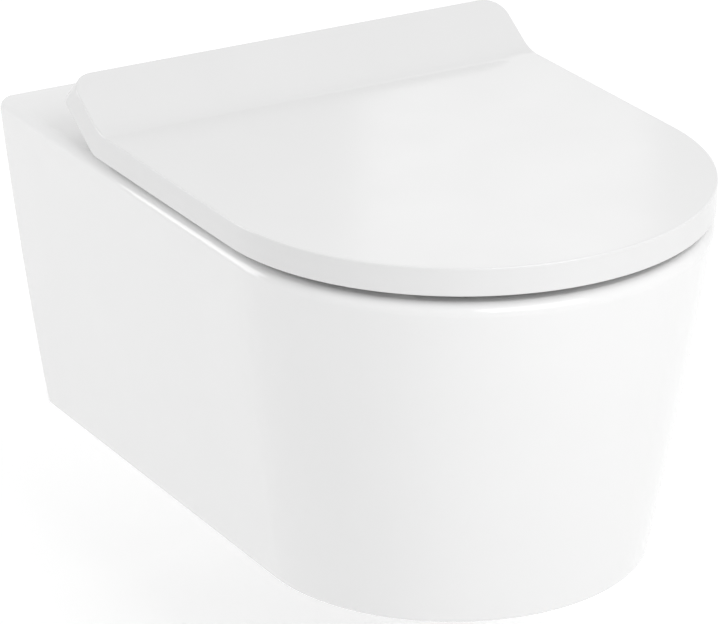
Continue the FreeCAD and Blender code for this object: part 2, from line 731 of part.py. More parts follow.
def hinge_block(side, label):
    """A block that drops over the post, with the hinge axis through its top."""
    x, y = "%d * size.seat_bolt_half" % side, "-size.seat_bolt_back"
    inner, outer = "size.seat_bolt_half - size.block_half", "size.seat_bolt_half + size.block_half"
    shoulder = "size.axis_level + size.block_shoulder"
    body = side_block("block_body_" + label, side, inner, outer, (
        ("-size.block_front", "size.block_foot"),
        ("-size.block_front", "size.axis_level - 3"),
        ("-size.axis_back - 9", shoulder),
        ("-size.axis_back", shoulder),
        ("-size.block_back", "size.axis_level"),
        ("-size.block_back", "size.block_foot")))
    barrel = side_cylinder("block_barrel_" + label, side, "size.block_radius", inner, outer)
    post_top = "size.deck_level + size.gasket_height + size.rosette_height + size.post_height"
    socket = cylinder("block_socket_" + label, "size.post_radius + size.running",
                      "(%s) + 0.5 - size.block_foot" % post_top, (x, y, "size.block_foot"))
    slot_half = "(size.wire_gap + size.wire_radius + 0.6)"
    slot_front = "(size.wire_front + size.wire_gap + size.wire_radius + size.wire_room)"
    slot = box("wire_slot_" + label, "2 * " + slot_half, "%s - size.block_back + 1" % slot_front,
               "2 * (size.wire_radius + size.wire_room)",
               ("%s - %s" % (x, slot_half), "-" + slot_front,
                WIRE_LEVEL + " - size.wire_radius - size.wire_room"))
    recess_half = "(size.button_half + size.wire_room)"
    recess = box("button_recess_" + label, "2 * " + recess_half,
                 "size.button_depth + size.button_travel + 5", "size.button_height + size.wire_room",
                 ("%s - %s" % (x, recess_half),
                  "-size.button_face - size.button_depth - size.button_travel - 1",
                  WIRE_LEVEL + " - (size.button_height + size.wire_room) / 2"))
    pins = []
    for name, start, end in (("inner", inner, inner + " + size.pin_seat"),
                             ("outer", outer + " - size.pin_seat", outer)):
        pins.append(side_cylinder("block_%s_hole_%s" % (name, label), side,
                                  "size.pin_radius + size.running", start, end))
    solid = fuse("block_solid_" + label, body, barrel)
    keep("hinge_block_" + label, cut("hinge_block_" + label, solid, socket, slot, recess, *pins))


def lock_spring(side, label):
    """A U of spring wire whose legs lie in the post's groove."""
    body = new_body("lock_spring_body_" + label)
    x, gap = side * value("seat_bolt_half"), value("wire_gap")
    front, back = -value("wire_front"), -value("wire_back")
    line = sketch_on(body, "wire_line_" + label, "XY_Plane", WIRE_LEVEL)
    left, bottom, right = Vector(x - gap, front, 0), Vector(x, front - gap, 0), Vector(x + gap, front, 0)
    line.addGeometry(Part.LineSegment(Vector(x - gap, back, 0), left))
    line.addGeometry(Part.Arc(left, bottom, right))
    line.addGeometry(Part.LineSegment(right, Vector(x + gap, back, 0)))
    centre = ("%d * size.seat_bolt_half - size.wire_gap" % side, WIRE_LEVEL)
    section = circle(body, "wire_section_" + label, "XZ_Plane", centre, "size.wire_radius",
                     "size.wire_back")
    pipe(body, "wire_" + label, section, line)
    keep("lock_spring_" + label, body)


def release_button(side, label):
    """A cap in the block's back face with a wedge that spreads the spring's legs."""
    x = "%d * size.seat_bolt_half" % side
    root = "-size.button_face - size.button_depth"
    cap = box("button_cap_" + label, "2 * size.button_half", "size.button_depth", "size.button_height",
              (x + " - size.button_half", root, WIRE_LEVEL + " - size.button_height / 2"))
    body = new_body("button_wedge_" + label)
    outline = polygon(body, "wedge_outline_" + label, "XY_Plane", (
        (x + " - size.button_half + 0.6", root + " + 0.5"),
        (x + " - size.wedge_tip_half", "-size.button_tip"),
        (x + " + size.wedge_tip_half", "-size.button_tip"),
        (x + " + size.button_half - 0.6", root + " + 0.5")))
    outline.setExpression("AttachmentOffset.Base.z", WIRE_LEVEL)
    pad(body, "wedge_pad_" + label, outline, "2 * size.wire_radius + size.wire_room", midplane=True)
    keep("release_button_" + label, fuse("release_button_" + label, cap, body))


# ---------------------------------------------------------------- pivots

def pivots():
    """Left: damped seat pivot and plain lid pivot. Right: plain seat pivot and damped lid pivot."""
    seat_outer = "size.seat_bolt_half - size.block_half - size.barrel_gap"
    lid_inner = "size.seat_bolt_half + size.block_half + size.barrel_gap"
    held = "(size.pin_seat + size.barrel_gap - 0.2)"
    reach = "(size.damper_length - 3)"
    for side, seat_shaft, lid_shaft in ((-1, "seat_damper_shaft", "lid_pin_left"),
                                        (1, "seat_pin_right", "lid_damper_shaft")):
        keep(seat_shaft, side_cylinder(seat_shaft, side, "size.pin_radius",
                                       "%s - %s" % (seat_outer, reach), "%s + %s" % (seat_outer, held)))
        keep(lid_shaft, side_cylinder(lid_shaft, side, "size.pin_radius",
                                      "%s - %s" % (lid_inner, held), "%s + %s" % (lid_inner, reach)))
    seat_bore = (seat_outer + " - size.damper_length", seat_outer + " - 0.5")
    lid_bore = (lid_inner + " + 0.5", lid_inner + " + size.damper_length")
    damper, bush = "size.damper_radius - size.running", "size.bush_outer - size.running"
    for node, side, radius, (start, end), from_start, to_end in (
            ("seat_damper", -1, damper, seat_bore, " + 2", ""),
            ("lid_damper", 1, damper, lid_bore, "", " - 2"),
            ("seat_pin_bush", 1, bush, seat_bore, "", ""),
            ("lid_pin_bush", -1, bush, lid_bore, "", "")):
        shell = side_cylinder(node + "_shell", side, radius, start, end)
        bore = side_cylinder(node + "_bore", side, "size.pin_radius + size.running",
                             start + from_start, end + to_end)
        keep(node, cut(node + "_cut", shell, bore))


# ---------------------------------------------------------------- seat ring

def seat_ring():
    body = new_body("ring_body")
    outline = oblong(body, "ring_outline", "XY_Plane", "size.ring_foot", "size.ring_half",
                     "-size.ring_nose", "-size.ring_back", round_high=False)
    slab = pad(body, "ring_slab", outline, "size.ring_height")
    half, back = value("ring_half"), value("ring_back")
    round_off(body, "ring_corners", slab,
              lambda p, e: abs(abs(p.x) - half) < 0.1 and abs(p.y + back) < 0.1, "size.ring_corner")
    opening = oblong(body, "ring_hole", "XY_Plane", "size.ring_foot", "size.hole_half",
                     "-size.hole_front", "-size.hole_rear")
    hole = pocket(body, "ring_opening", opening, "2 * size.ring_height + 2", midplane=True)
    top = value("ring_foot") + value("ring_height")
    round_off(body, "ring_edges", hole, lambda p, e: abs(p.z - top) < 0.01, "size.ring_round")
    keep_solids = [body]
    bores = []
    outer = "size.seat_bolt_half - size.block_half - size.barrel_gap"
    inner = outer + " - size.barrel_length"
    for side, label in SIDES:
        keep_solids.append(side_block("seat_arm_" + label, side, inner, outer, (
            ("-size.ring_back - 10", "size.ring_foot + 1"),
            ("-size.ring_back - 10", "size.ring_foot + size.ring_height - 1"),
            ("-size.axis_back - 30", "size.ring_foot + size.ring_height - 1"),
            ("-size.axis_back - 6", "size.axis_level + 9"),
            ("-size.axis_back", "size.axis_level"),
            ("-size.axis_back - 6", "size.axis_level - 9"),
            ("-size.axis_back - 18", "size.ring_foot + 1"))))
        keep_solids.append(side_cylinder("seat_barrel_" + label, side, "size.barrel_radius", inner, outer))
        radius = "size.damper_radius" if side < 0 else "size.bush_outer"
        bores.append(side_cylinder("seat_bore_" + label, side, radius,
                                   outer + " - size.damper_length - 0.5", outer))
    for k, (x, y) in enumerate(SEAT_BUMPERS):
        bores.append(cylinder("ring_socket_%d" % k, "size.bumper_stem + size.running",
                              "size.bumper_stem_length + 0.2", (x, y, "size.ring_foot")))
    keep("seat_ring", cut("seat_ring_cut", fuse("ring_solid", *keep_solids), *bores))


# X and Y of the bumpers, over flat ceramic and flat seat.
SEAT_BUMPERS = ((-106, -466), (106, -466), (-142, -240), (142, -240))
LID_BUMPERS = ((-102, -461), (102, -461), (-140, -260), (140, -260))


def bumper_set(node, places, radius, height, foot, stem, stem_length):
    """Soft pads, each with a stem pressed up into the piece that carries it."""
    pads = []
    for k, (x, y) in enumerate(places):
        disc = cylinder("%s_disc_%d" % (node, k), radius, height, (x, y, foot))
        peg = cylinder("%s_peg_%d" % (node, k), stem, "%s + %s" % (height, stem_length), (x, y, foot))
        pads.append(fuse("%s_%d" % (node, k), disc, peg))
    group = doc.addObject("Part::Compound", node + "_group")
    group.Links = pads
    keep(node, group)


# ---------------------------------------------------------------- lid

RAMP_TOP = "(size.lid_top + (size.bend_back - size.ramp_end) * tan(size.ramp_angle))"


def ramp_point(along, down):
    """Y and Z at a distance along the ramp past its top edge and square down from its face."""
    return ("-size.ramp_end + (%s) * cos(size.ramp_angle) + (%s) * sin(size.ramp_angle)" % (along, down),
            "%s + (%s) * sin(size.ramp_angle) - (%s) * cos(size.ramp_angle)" % (RAMP_TOP, along, down))


def bent_solid(name, half, low, profile):
    """The plan outline and the side outline, each extruded through the other."""
    plan = new_body(name + "_plan")
    outline = oblong(plan, name + "_plan_outline", "XY_Plane", "size.ring_foot - 10", half, low, -100,
                     round_high=False)
    pad(plan, name + "_plan_pad", outline, 70)
    side = new_body(name + "_side")
    shape = polygon(side, name + "_side_outline", "YZ_Plane", profile)
    slab = pad(side, name + "_side_pad", shape, "3 * size.lid_half", midplane=True)
    return plan, side, slab


def round_corners(name, base, half, radius):
    """Round the two rear corners where the side faces meet the ramp's end."""
    doc.recompute()
    edges = []
    for k, edge in enumerate(base.Shape.Edges, start=1):
        middle = edge.valueAt((edge.FirstParameter + edge.LastParameter) / 2)
        run = edge.Length
        if abs(abs(middle.x) - value(half)) < 0.1 and abs(run - value("ramp_depth")) < 0.5:
            edges.append((k, value(radius), value(radius)))
    rounded = doc.addObject("Part::Fillet", name)
    rounded.Base = base
    rounded.Edges = edges
    return rounded


def lid_shell():
    front = "-size.lid_nose - size.lid_half - 10"
    band_foot = "size.lid_top - size.lid_band"
    plan, side, slab = bent_solid("lid_outer", "size.lid_half", "-size.lid_nose", (
        (front, band_foot), (front, "size.lid_top"), ("-size.bend_back", "size.lid_top"),
        ramp_point(0, 0), ramp_point(0, "size.ramp_depth"), ("-size.crease_back", band_foot)))
    bend, crease = value("bend_back"), value("crease_back")
    top, foot = value("lid_top"), value("lid_top") - value("lid_band")
    bent = round_off(side, "lid_bend", slab,
                     lambda p, e: abs(p.y + bend) < 0.1 and abs(p.z - top) < 0.1, "size.bend_round")
    round_off(side, "lid_crease", bent,
              lambda p, e: abs(p.y + crease) < 0.1 and abs(p.z - foot) < 0.1, "size.bend_round / 2")
    outside = round_corners("lid_outside", common("lid_outer_common", plan, side), "lid_half", "lid_corner")

    under = "size.lid_top - size.lid_skin"
    low = "-size.lid_nose"
    inner_bend = "-size.bend_back + size.lid_skin * tan(size.ramp_angle / 2)"
    plan, side, slab = bent_solid("lid_inner", "size.lid_half - size.lid_wall", low, (
        (front, "size.ring_foot - 20"), (front, under), (inner_bend, under),
        ramp_point("-size.lid_wall", "size.lid_skin"), ramp_point("-size.lid_wall", 45),
        (ramp_point("-size.lid_wall", 45)[0], "size.ring_foot - 20")))
    inside = common("lid_inner_common", plan, side)

    lid_inner = "size.seat_bolt_half + size.block_half + size.barrel_gap"
    lid_outer = lid_inner + " + size.barrel_length"
    solids = [cut("lid_tray", outside, inside)]
    bores = []
    for side, label in SIDES:
        web_back, web_front = "-size.lid_wall - 4", "-size.lid_wall - 24"
        solids.append(side_block("lid_web_" + label, side, lid_inner, lid_outer, (
            ramp_point(web_front, "size.lid_skin / 2"), ramp_point(web_back, "size.lid_skin / 2"),
            ramp_point(web_back, "size.web_drop"), ramp_point(web_front, "size.web_drop"))))
        solids.append(side_cylinder("lid_barrel_" + label, side, "size.barrel_radius", lid_inner, lid_outer))
        radius = "size.bush_outer" if side < 0 else "size.damper_radius"
        bores.append(side_cylinder("lid_bore_" + label, side, radius, lid_inner,
                                   lid_inner + " + size.damper_length + 0.5"))
        past, notch_top = "-size.lid_wall - 2", "size.ramp_depth - size.notch_height"
        bores.append(side_block("lid_notch_" + label, side, "size.seat_bolt_half - size.notch_half",
                                "size.seat_bolt_half + size.notch_outer", (
            ramp_point(past, notch_top), ramp_point(2, notch_top), ramp_point(2, 40), ramp_point(past, 40))))
    for k, (x, y) in enumerate(LID_BUMPERS):
        bores.append(cylinder("lid_socket_%d" % k, "size.lid_bumper_stem + size.running",
                              "size.lid_bumper_stem_length + 0.2", (x, y, "size.lid_top - size.lid_skin")))
    keep("lid_shell", cut("lid_shell_cut", fuse("lid_solid", *solids), *bores))


# ---------------------------------------------------------------- build, check and write

SIDES = ((-1, "left"), (1, "right"))

pan_solids()
flush_distributor()
fixing_screws()
for side, label in SIDES:
    wall_fixing(side, label)
    seat_bolt(side, label)
    hinge_block(side, label)
    lock_spring(side, label)
    release_button(side, label)
pivots()
seat_ring()
bumper_set("seat_bumpers", SEAT_BUMPERS, "size.bumper_radius",
           "size.ring_foot - size.deck_level - size.bumper_gap", "size.deck_level + size.bumper_gap",
           "size.bumper_stem", "size.bumper_stem_length")
lid_shell()
bumper_set("lid_bumpers", LID_BUMPERS, "size.lid_bumper_radius",
           "size.lid_top - size.lid_skin - size.ring_foot - size.ring_height - size.bumper_gap",
           "size.ring_foot + size.ring_height + size.bumper_gap", "size.lid_bumper_stem",
           "size.lid_bumper_stem_length")
doc.recompute()


def fault(thing):
    return "Invalid" in thing.State or "Error" in thing.State


faults = ["%s (%s): %s" % (thing.Name, thing.TypeId, thing.getStatusString())
          for thing in doc.Objects if fault(thing)]
if faults:
    raise SystemExit("failed objects: " + "; ".join(faults[:8]))
for node, thing in parts.items():
    if thing.Shape.isNull() or not thing.Shape.isValid():
        raise SystemExit("bad shape: " + node)
os.makedirs("parts", exist_ok=True)
for node, thing in parts.items():
    thing.Shape.exportStep("parts/%s.step" % node)
    print(node, len(thing.Shape.Solids), round(thing.Shape.Volume / 1000, 2))
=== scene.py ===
# %% [markdown]
# # A wall hung toilet in a photo studio
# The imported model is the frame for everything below. X runs across the pan, Y points into the
# wall and Z is up; the origin lies on the wall, midway between the two wall bolts. The large
# glossy pieces are worked out again as smooth surfaces, because a reflection shows every facet
# of a meshed solid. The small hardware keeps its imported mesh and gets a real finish.

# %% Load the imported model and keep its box
import json
import math

import bmesh
import bpy
import numpy as np
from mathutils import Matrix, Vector, geometry


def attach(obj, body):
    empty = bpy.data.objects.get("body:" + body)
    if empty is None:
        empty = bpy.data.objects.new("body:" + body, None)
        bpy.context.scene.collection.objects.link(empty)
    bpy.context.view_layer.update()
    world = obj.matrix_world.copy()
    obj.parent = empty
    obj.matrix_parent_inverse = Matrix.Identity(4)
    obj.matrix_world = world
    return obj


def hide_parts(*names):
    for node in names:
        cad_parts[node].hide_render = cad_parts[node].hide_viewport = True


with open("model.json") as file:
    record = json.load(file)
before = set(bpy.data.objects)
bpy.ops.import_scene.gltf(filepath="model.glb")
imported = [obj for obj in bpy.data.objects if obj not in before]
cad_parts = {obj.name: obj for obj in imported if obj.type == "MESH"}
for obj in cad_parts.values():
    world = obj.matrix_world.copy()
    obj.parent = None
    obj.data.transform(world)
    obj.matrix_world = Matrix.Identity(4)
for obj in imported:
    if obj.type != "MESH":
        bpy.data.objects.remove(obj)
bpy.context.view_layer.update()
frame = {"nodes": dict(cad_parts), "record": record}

nodes = frame["nodes"]

# %% [markdown]
# ## Colours and nodes
# A colour is written as the sRGB hex value that a colour picker shows. The shader wants linear
# light, so one function turns it. A second small function adds one node with its settings and
# links, which keeps each material down to a few readable lines.

# %% Colour and node helpers
def linear(hex_colour):
    """sRGB to linear: c / 12.92 up to 0.04045, above that ((c + 0.055) / 1.055) to the power 2.4."""
    c = np.array([int(hex_colour[k:k + 2], 16) for k in (1, 3, 5)]) / 255
    return (*np.where(c <= 0.04045, c / 12.92, ((c + 0.055) / 1.055) ** 2.4), 1.0)


def add_node(tree, kind, settings=(), links=()):
    """One node: settings go to its properties or input sockets, links join sources to its inputs."""
    node = tree.nodes.new(kind)
    for name, setting in dict(settings).items():
        if isinstance(name, int) or name in node.inputs:
            node.inputs[name].default_value = setting
        else:
            setattr(node, name, setting)
    for name, source in dict(links).items():
        tree.links.new(source, node.inputs[name])
    return node


def per_mm(size_mm):
    """Texture scale for a pattern whose repeat is size_mm, on Object coordinates in metres."""
    return 1000 / size_mm


# %% [markdown]
# ## A finish from a fine pattern
# Every real surface here is nearly one colour, so what tells china from plastic or plate is how
# the light breaks on it. Each finish therefore starts from a Principled shader and adds three
# quiet things, all on Object coordinates: a faint drift of colour, a faint drift of roughness
# and a relief of a real size.

# %% The finish builder
def finish(name, hex_colour, hex_drift, shader, relief_mm, height_mm, drift_mm, rough, stretch=(1, 1, 1)):
    """Principled shader with noise: colour and roughness drift at drift_mm, relief at relief_mm."""
    material = bpy.data.materials.new(name)
    material.use_nodes = True
    tree = material.node_tree
    base = tree.nodes["Principled BSDF"]
    for socket, number in shader.items():
        base.inputs[socket].default_value = number
    place = add_node(tree, "ShaderNodeTexCoord").outputs["Object"]
    grain = add_node(tree, "ShaderNodeMapping", {"Scale": stretch}, {"Vector": place}).outputs["Vector"]
    drift = add_node(tree, "ShaderNodeTexNoise", {"Scale": per_mm(drift_mm), "Detail": 2.0},
                     {"Vector": place}).outputs["Fac"]
    colours = {"data_type": "RGBA", 6: linear(hex_colour), 7: linear(hex_drift)}
    mixed = add_node(tree, "ShaderNodeMix", colours, {0: drift}).outputs[2]
    spread = {"From Min": 0.3, "From Max": 0.7, "To Min": rough[0], "To Max": rough[1]}
    rougher = add_node(tree, "ShaderNodeMapRange", spread, {"Value": drift}).outputs["Result"]
    relief = add_node(tree, "ShaderNodeTexNoise", {"Scale": per_mm(relief_mm), "Detail": 3.0},
                      {"Vector": grain}).outputs["Fac"]
    bump = add_node(tree, "ShaderNodeBump", {"Strength": 1.0, "Distance": height_mm / 1000},
                    {"Height": relief})
    tree.links.new(mixed, base.inputs["Base Color"])
    tree.links.new(rougher, base.inputs["Roughness"])
    tree.links.new(bump.outputs["Normal"], base.inputs["Normal"])
    return material


# %% [markdown]
# ## White ware: glazed china and pressed duroplast
# Vitreous china is a white clay body under a clear glaze of about half a millimetre. The glaze
# flows in the kiln, so it is mirror smooth with a slow swell some 30 mm long. The seat and lid
# are urea duroplast, pressed hot in a polished steel mould: just as white, a little softer in
# its gloss, with a finer swell left by the mould's polishing.

# %% China and duroplast
# Vitreous china, dipped in glaze and fired: a deep, liquid gloss with a barely moving reflection.
glazed_china = finish(
    "glazed_vitreous_china", "#EFEFEF", "#ECECEC",
    {"IOR": 1.52, "Coat Weight": 0.35, "Coat Roughness": 0.03, "Coat IOR": 1.5},
    relief_mm=32, height_mm=0.05, drift_mm=90, rough=(0.06, 0.09))
# Urea duroplast, pressed in a polished mould: hard plastic gloss, edges crisp, highlights soft.
pressed_duroplast = finish(
    "pressed_urea_duroplast", "#E5E5E5", "#E2E2E2",
    {"IOR": 1.55, "Coat Weight": 0.0}, relief_mm=22, height_mm=0.02, drift_mm=60, rough=(0.12, 0.16))

# %% [markdown]
# ## Metals and small mouldings
# The hinge caps are nickel chrome plate over cast zinc: polished, cool and slightly rippled.
# Posts and bolts are turned stainless steel, whose fine rings lie across the axis, so their
# noise is squeezed along Z. The clamps are bare die castings, grey and slightly grainy.

# %% Metals
# Bright chrome plate: a mirror with a cool tint and the faint ripple of the polished casting.
chrome_plate = finish("bright_chrome_plate", "#D5D8DB", "#CBCFD3", {"Metallic": 1.0},
                      relief_mm=6, height_mm=0.006, drift_mm=12, rough=(0.05, 0.1))
# Turned stainless steel: rings 0.25 mm apart across the axis pull a highlight into a streak.
turned_steel = finish("turned_stainless_steel", "#B9B7B3", "#A8A6A2", {"Metallic": 1.0},
                      relief_mm=2.5, height_mm=0.01, drift_mm=5, rough=(0.22, 0.32), stretch=(1, 1, 10))
# Drawn spring wire: dull, a little brown from its heat treatment, with drag lines along Y.
drawn_wire = finish("drawn_spring_wire", "#9B9892", "#86837D", {"Metallic": 1.0},
                    relief_mm=1.2, height_mm=0.01, drift_mm=3, rough=(0.28, 0.4), stretch=(6, 1, 6))
# Zinc plated steel: pale, bluish, with crystals of about 1 mm that break up the shine.
zinc_plate = finish("zinc_plated_steel", "#BFC3C7", "#A9AEB3", {"Metallic": 1.0},
                    relief_mm=1.2, height_mm=0.015, drift_mm=1.5, rough=(0.3, 0.45))
# Bare zinc die casting: soft grey with a sandy skin from the die.
cast_zinc = finish("bare_cast_zinc", "#A7A9AA", "#949697", {"Metallic": 1.0},
                   relief_mm=0.8, height_mm=0.03, drift_mm=8, rough=(0.45, 0.6))

# %% [markdown]
# The bumpers, bushes and linings are soft or moulded pieces that hardly show. What sets them
# apart from the white ware is a dull surface, so they get more roughness and a finer relief.

# %% Rubber and moulded plastic
# White thermoplastic elastomer: soft, matt and dry, so that a bumper reads as rubber.
white_elastomer = finish("white_soft_elastomer", "#E3E3E0", "#DAD9D5", {"IOR": 1.5},
                         relief_mm=0.6, height_mm=0.02, drift_mm=6, rough=(0.5, 0.65))
# Grey expanding rubber: dark, matt, with a little bloom.
grey_rubber = finish("grey_moulded_rubber", "#56585B", "#4A4C4F", {"IOR": 1.5},
                     relief_mm=0.7, height_mm=0.03, drift_mm=7, rough=(0.6, 0.78))
# White acetal: a waxy sheen over the mould's fine spark texture of 0.5 mm.
white_acetal = finish("white_moulded_acetal", "#E6E6E4", "#DEDEDB", {"IOR": 1.48},
                      relief_mm=0.5, height_mm=0.008, drift_mm=10, rough=(0.3, 0.4))
# Glass filled polyamide: grey, with short fibres that flow along the moulding.
glass_filled_polyamide = finish(
    "grey_glass_filled_polyamide", "#8A8C8F", "#7A7C7F", {"IOR": 1.53},
    relief_mm=0.9, height_mm=0.02, drift_mm=4, rough=(0.4, 0.55), stretch=(1, 5, 5))

finish_of_slot = {
    "vitreous_china": glazed_china, "white_duroplast": pressed_duroplast, "chrome_cap": chrome_plate,
    "stainless_steel": turned_steel, "spring_wire": drawn_wire, "zinc_plated_steel": zinc_plate,
    "cast_zinc": cast_zinc, "white_rubber": white_elastomer, "grey_rubber": grey_rubber,
    "white_plastic": white_acetal, "grey_plastic": glass_filled_polyamide}
print("finishes:", sorted(m.name for m in finish_of_slot.values()))

# %% [markdown]
# ## Surfaces from grids
# A grid of points is the plainest surface there is: rows and columns of positions, with a quad
# between each four neighbours. All shapes here are such grids, worked out in millimetres as
# whole arrays, plus flat faces cut between closed outlines. Borders that share their points
# melt into one closed skin when the piece is built.

# %% Grid, flat face and piece
def grid(points, loop=False):
    """Vertices and quads of a (rows, columns, 3) array: (r, c), (r, c+1), (r+1, c+1), (r+1, c)."""
    rows, columns = points.shape[:2]
    r = np.arange(rows - 1)[:, None] * columns
    c = np.arange(columns if loop else columns - 1)[None, :]
    after = (c + 1) % columns
    quads = np.stack([r + c, r + after, r + columns + after, r + columns + c], -1)
    return points.reshape(-1, 3), quads.reshape(-1, 4)


def inside(points, outline):
    """Even-odd rule: a point is inside where a line along +x from it crosses the outline oddly often."""
    a, b = outline, np.roll(outline, -1, 0)
    x, y = points[:, 0, None], points[:, 1, None]
    spans = (a[:, 1] > y) != (b[:, 1] > y)
    rise = np.where(b[:, 1] == a[:, 1], 1, b[:, 1] - a[:, 1])
    crossing = a[:, 0] + (y - a[:, 1]) / rise * (b[:, 0] - a[:, 0])
    return (spans & (x < crossing)).sum(1) % 2 == 1


def flat(outlines, lift):
    """Triangles inside the first outline and outside the others; lift places (n, 2) points in space."""
    points = np.vstack(outlines)
    starts = np.cumsum([0] + [len(o) for o in outlines[:-1]])
    edges = np.vstack([np.stack([s + np.arange(len(o)), s + (np.arange(len(o)) + 1) % len(o)], 1)
                       for s, o in zip(starts, outlines)])
    found = geometry.delaunay_2d_cdt([Vector(p) for p in points.tolist()], edges.tolist(), [], 0, 1e-5)
    corners, triangles = np.array([tuple(p) for p in found[0]]), np.array(found[2])
    middles = corners[triangles].mean(1)
    kept = inside(middles, outlines[0])
    for hole in outlines[1:]:
        kept &= ~inside(middles, hole)
    return lift(corners), triangles[kept]


def level(z):
    """Lift onto a horizontal plane at height z."""
    return lambda p: np.column_stack([p, np.full(len(p), z)])


def upright(y):
    """Lift (x, z) points onto the plane at y, parallel to the wall."""
    return lambda p: np.column_stack([p[:, 0], np.full(len(p), y), p[:, 1]])


def crease(skin, degrees=40):
    """Smooth faces, with a crease where two of them meet at more than this many degrees."""
    for face in skin.faces:
        face.smooth = True
    for edge in skin.edges:
        edge.smooth = edge.calc_face_angle(0) < math.radians(degrees)


def build(name, patches, body, slot, *stands_for):
    """One closed mesh from patches in mm: shared borders merged, faces outwards, edges creased."""
    starts = np.cumsum([0] + [len(p) for p, _ in patches[:-1]])
    faces = [face for (_, f), s in zip(patches, starts) for face in (f + s).tolist()]
    mesh = bpy.data.meshes.new(name)
    mesh.from_pydata((np.vstack([p for p, _ in patches]) / 1000).tolist(), [], faces)
    skin = bmesh.new()
    skin.from_mesh(mesh)
    bmesh.ops.remove_doubles(skin, verts=skin.verts, dist=4e-6)
    bmesh.ops.dissolve_degenerate(skin, edges=skin.edges, dist=1e-7)
    bmesh.ops.recalc_face_normals(skin, faces=skin.faces)
    torn = sum(not edge.is_manifold for edge in skin.edges)
    crease(skin)
    skin.to_mesh(mesh)
    skin.free()
    mesh.materials.append(finish_of_slot[slot])
    piece = bpy.data.objects.new(name, mesh)
    bpy.context.scene.collection.objects.link(piece)
    even = piece.modifiers.new("even_shading", "WEIGHTED_NORMAL")
    even.keep_sharp = True
    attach(piece, body)
    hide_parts(*stands_for)
    print(name, len(mesh.polygons), "faces,", torn, "open edges")
    return piece


# %% [markdown]
# Four ways of moving an outline make the rest: turning a profile about an axis gives barrels,
# rounding a polygon's corners gives webs and arms, carrying it sideways gives them thickness,
# and rings along a bent line give a pipe.

# %% Turned, drawn and sliced shapes
AXES = {"x": np.array([[0, 1, 0], [0, 0, 1], [1, 0, 0]]), "y": np.array([[0, 0, 1], [1, 0, 0], [0, 1, 0]]),
        "z": np.eye(3)}


def turned(profile, centre, axis="z", around=64):
    """A profile of (radius, distance) turned about an axis: centre + radius (cos u, sin u) + distance."""
    u = np.linspace(0, 2 * np.pi, around, endpoint=False)
    radius, distance = np.array(profile, float).T[:, :, None]
    local = np.stack([radius * np.cos(u), radius * np.sin(u), distance + 0 * u], -1)
    return grid(np.array(centre, float) + local @ AXES[axis], loop=True)


def ring_at(radius, x, z, around=64):
    """A circle of points round (x, z), as an outline."""
    u = np.linspace(0, 2 * np.pi, around, endpoint=False)
    return np.column_stack([x + radius * np.cos(u), z + radius * np.sin(u)])


def rounded(corners, before, after, radii, steps):
    """Arcs at corners, tangent to both sides: each starts radius / tan(half angle) from its corner."""
    to_last, to_next = before - corners, after - corners
    to_last /= np.linalg.norm(to_last, axis=1)[:, None]
    to_next /= np.linalg.norm(to_next, axis=1)[:, None]
    half = np.arccos(np.clip((to_last * to_next).sum(1), -1, 1))[:, None] / 2
    middle = corners + (to_last + to_next) / (2 * np.cos(half)) * radii / np.sin(half)
    start = corners + to_last * radii / np.tan(half) - middle
    end = corners + to_next * radii / np.tan(half) - middle
    sweep = np.pi - 2 * half[:, :, None]
    t = np.linspace(0, 1, steps)[None, :, None]
    arc = (np.sin((1 - t) * sweep) * start[:, None] + np.sin(t * sweep) * end[:, None]) / np.sin(sweep)
    return (middle[:, None] + arc).reshape(-1, 2)


def softened(corners, radii, steps=6):
    """A closed outline with an arc in place of each corner."""
    corners, radii = np.array(corners, float), np.array(radii, float)[:, None]
    return rounded(corners, np.roll(corners, 1, 0), np.roll(corners, -1, 0), radii, steps)


def sliced(outline, x_from, x_to, edge=1.5, steps=4):
    """An outline in the YZ plane carried along X, with rounded ends: as a goes from 0 to a quarter turn,
    the outline is inset by edge(1 - sin a) at edge(1 - cos a) from the end."""
    ahead = np.roll(outline, -1, 0) - np.roll(outline, 1, 0)
    normal = np.column_stack([-ahead[:, 1], ahead[:, 0]]) / np.linalg.norm(ahead, axis=1)[:, None]
    middle = outline.mean(0)
    normal *= np.sign(((middle - outline) * normal).sum())
    a = np.linspace(0, np.pi / 2, steps)
    inset = np.concatenate([edge * (1 - np.sin(a)), edge * (1 - np.sin(a[::-1]))])
    x = np.concatenate([x_from + edge * (1 - np.cos(a)), x_to - edge * (1 - np.cos(a[::-1]))])
    rows = outline[None] + inset[:, None, None] * normal[None]
    rows = np.concatenate([np.broadcast_to(middle, (1,) + outline.shape), rows,
                           np.broadcast_to(middle, (1,) + outline.shape)])
    x = np.concatenate([[x_from], x, [x_to]])
    places = np.broadcast_to(x[:, None, None], rows.shape[:2] + (1,))
    return grid(np.concatenate([places, rows], -1), loop=True)


def tube(path, across, radius, around=40):
    """Rings round a path in one plane: path + radius (cos u * normal + sin u * across).
    The normal is the cross product of across and the path's tangent."""
    path, across = np.array(path, float), np.array(across, float)
    tangent = np.gradient(path, axis=0)
    tangent /= np.linalg.norm(tangent, axis=1)[:, None]
    normal = np.cross(across, tangent)
    u = np.linspace(0, 2 * np.pi, around, endpoint=False)[None, :, None]
    radius = np.broadcast_to(radius, len(path))[:, None, None]
    return path[:, None] + radius * (np.cos(u) * normal[:, None] + np.sin(u) * across)


# %% [markdown]
# ## The pan's outer skin
# The pan is one casting: a flat deck, a rim rounded by 8 mm, and a skirt that leans in slightly
# towards the foot. In plan it is a straight sided U whose nose is a half circle. The skin is a
# profile (rim, skirt, foot) carried along that U. At each depth the half width is
# 176 - 0.105 d - 0.00012 d^2, and the nose's centre draws back 0.048 mm per mm.

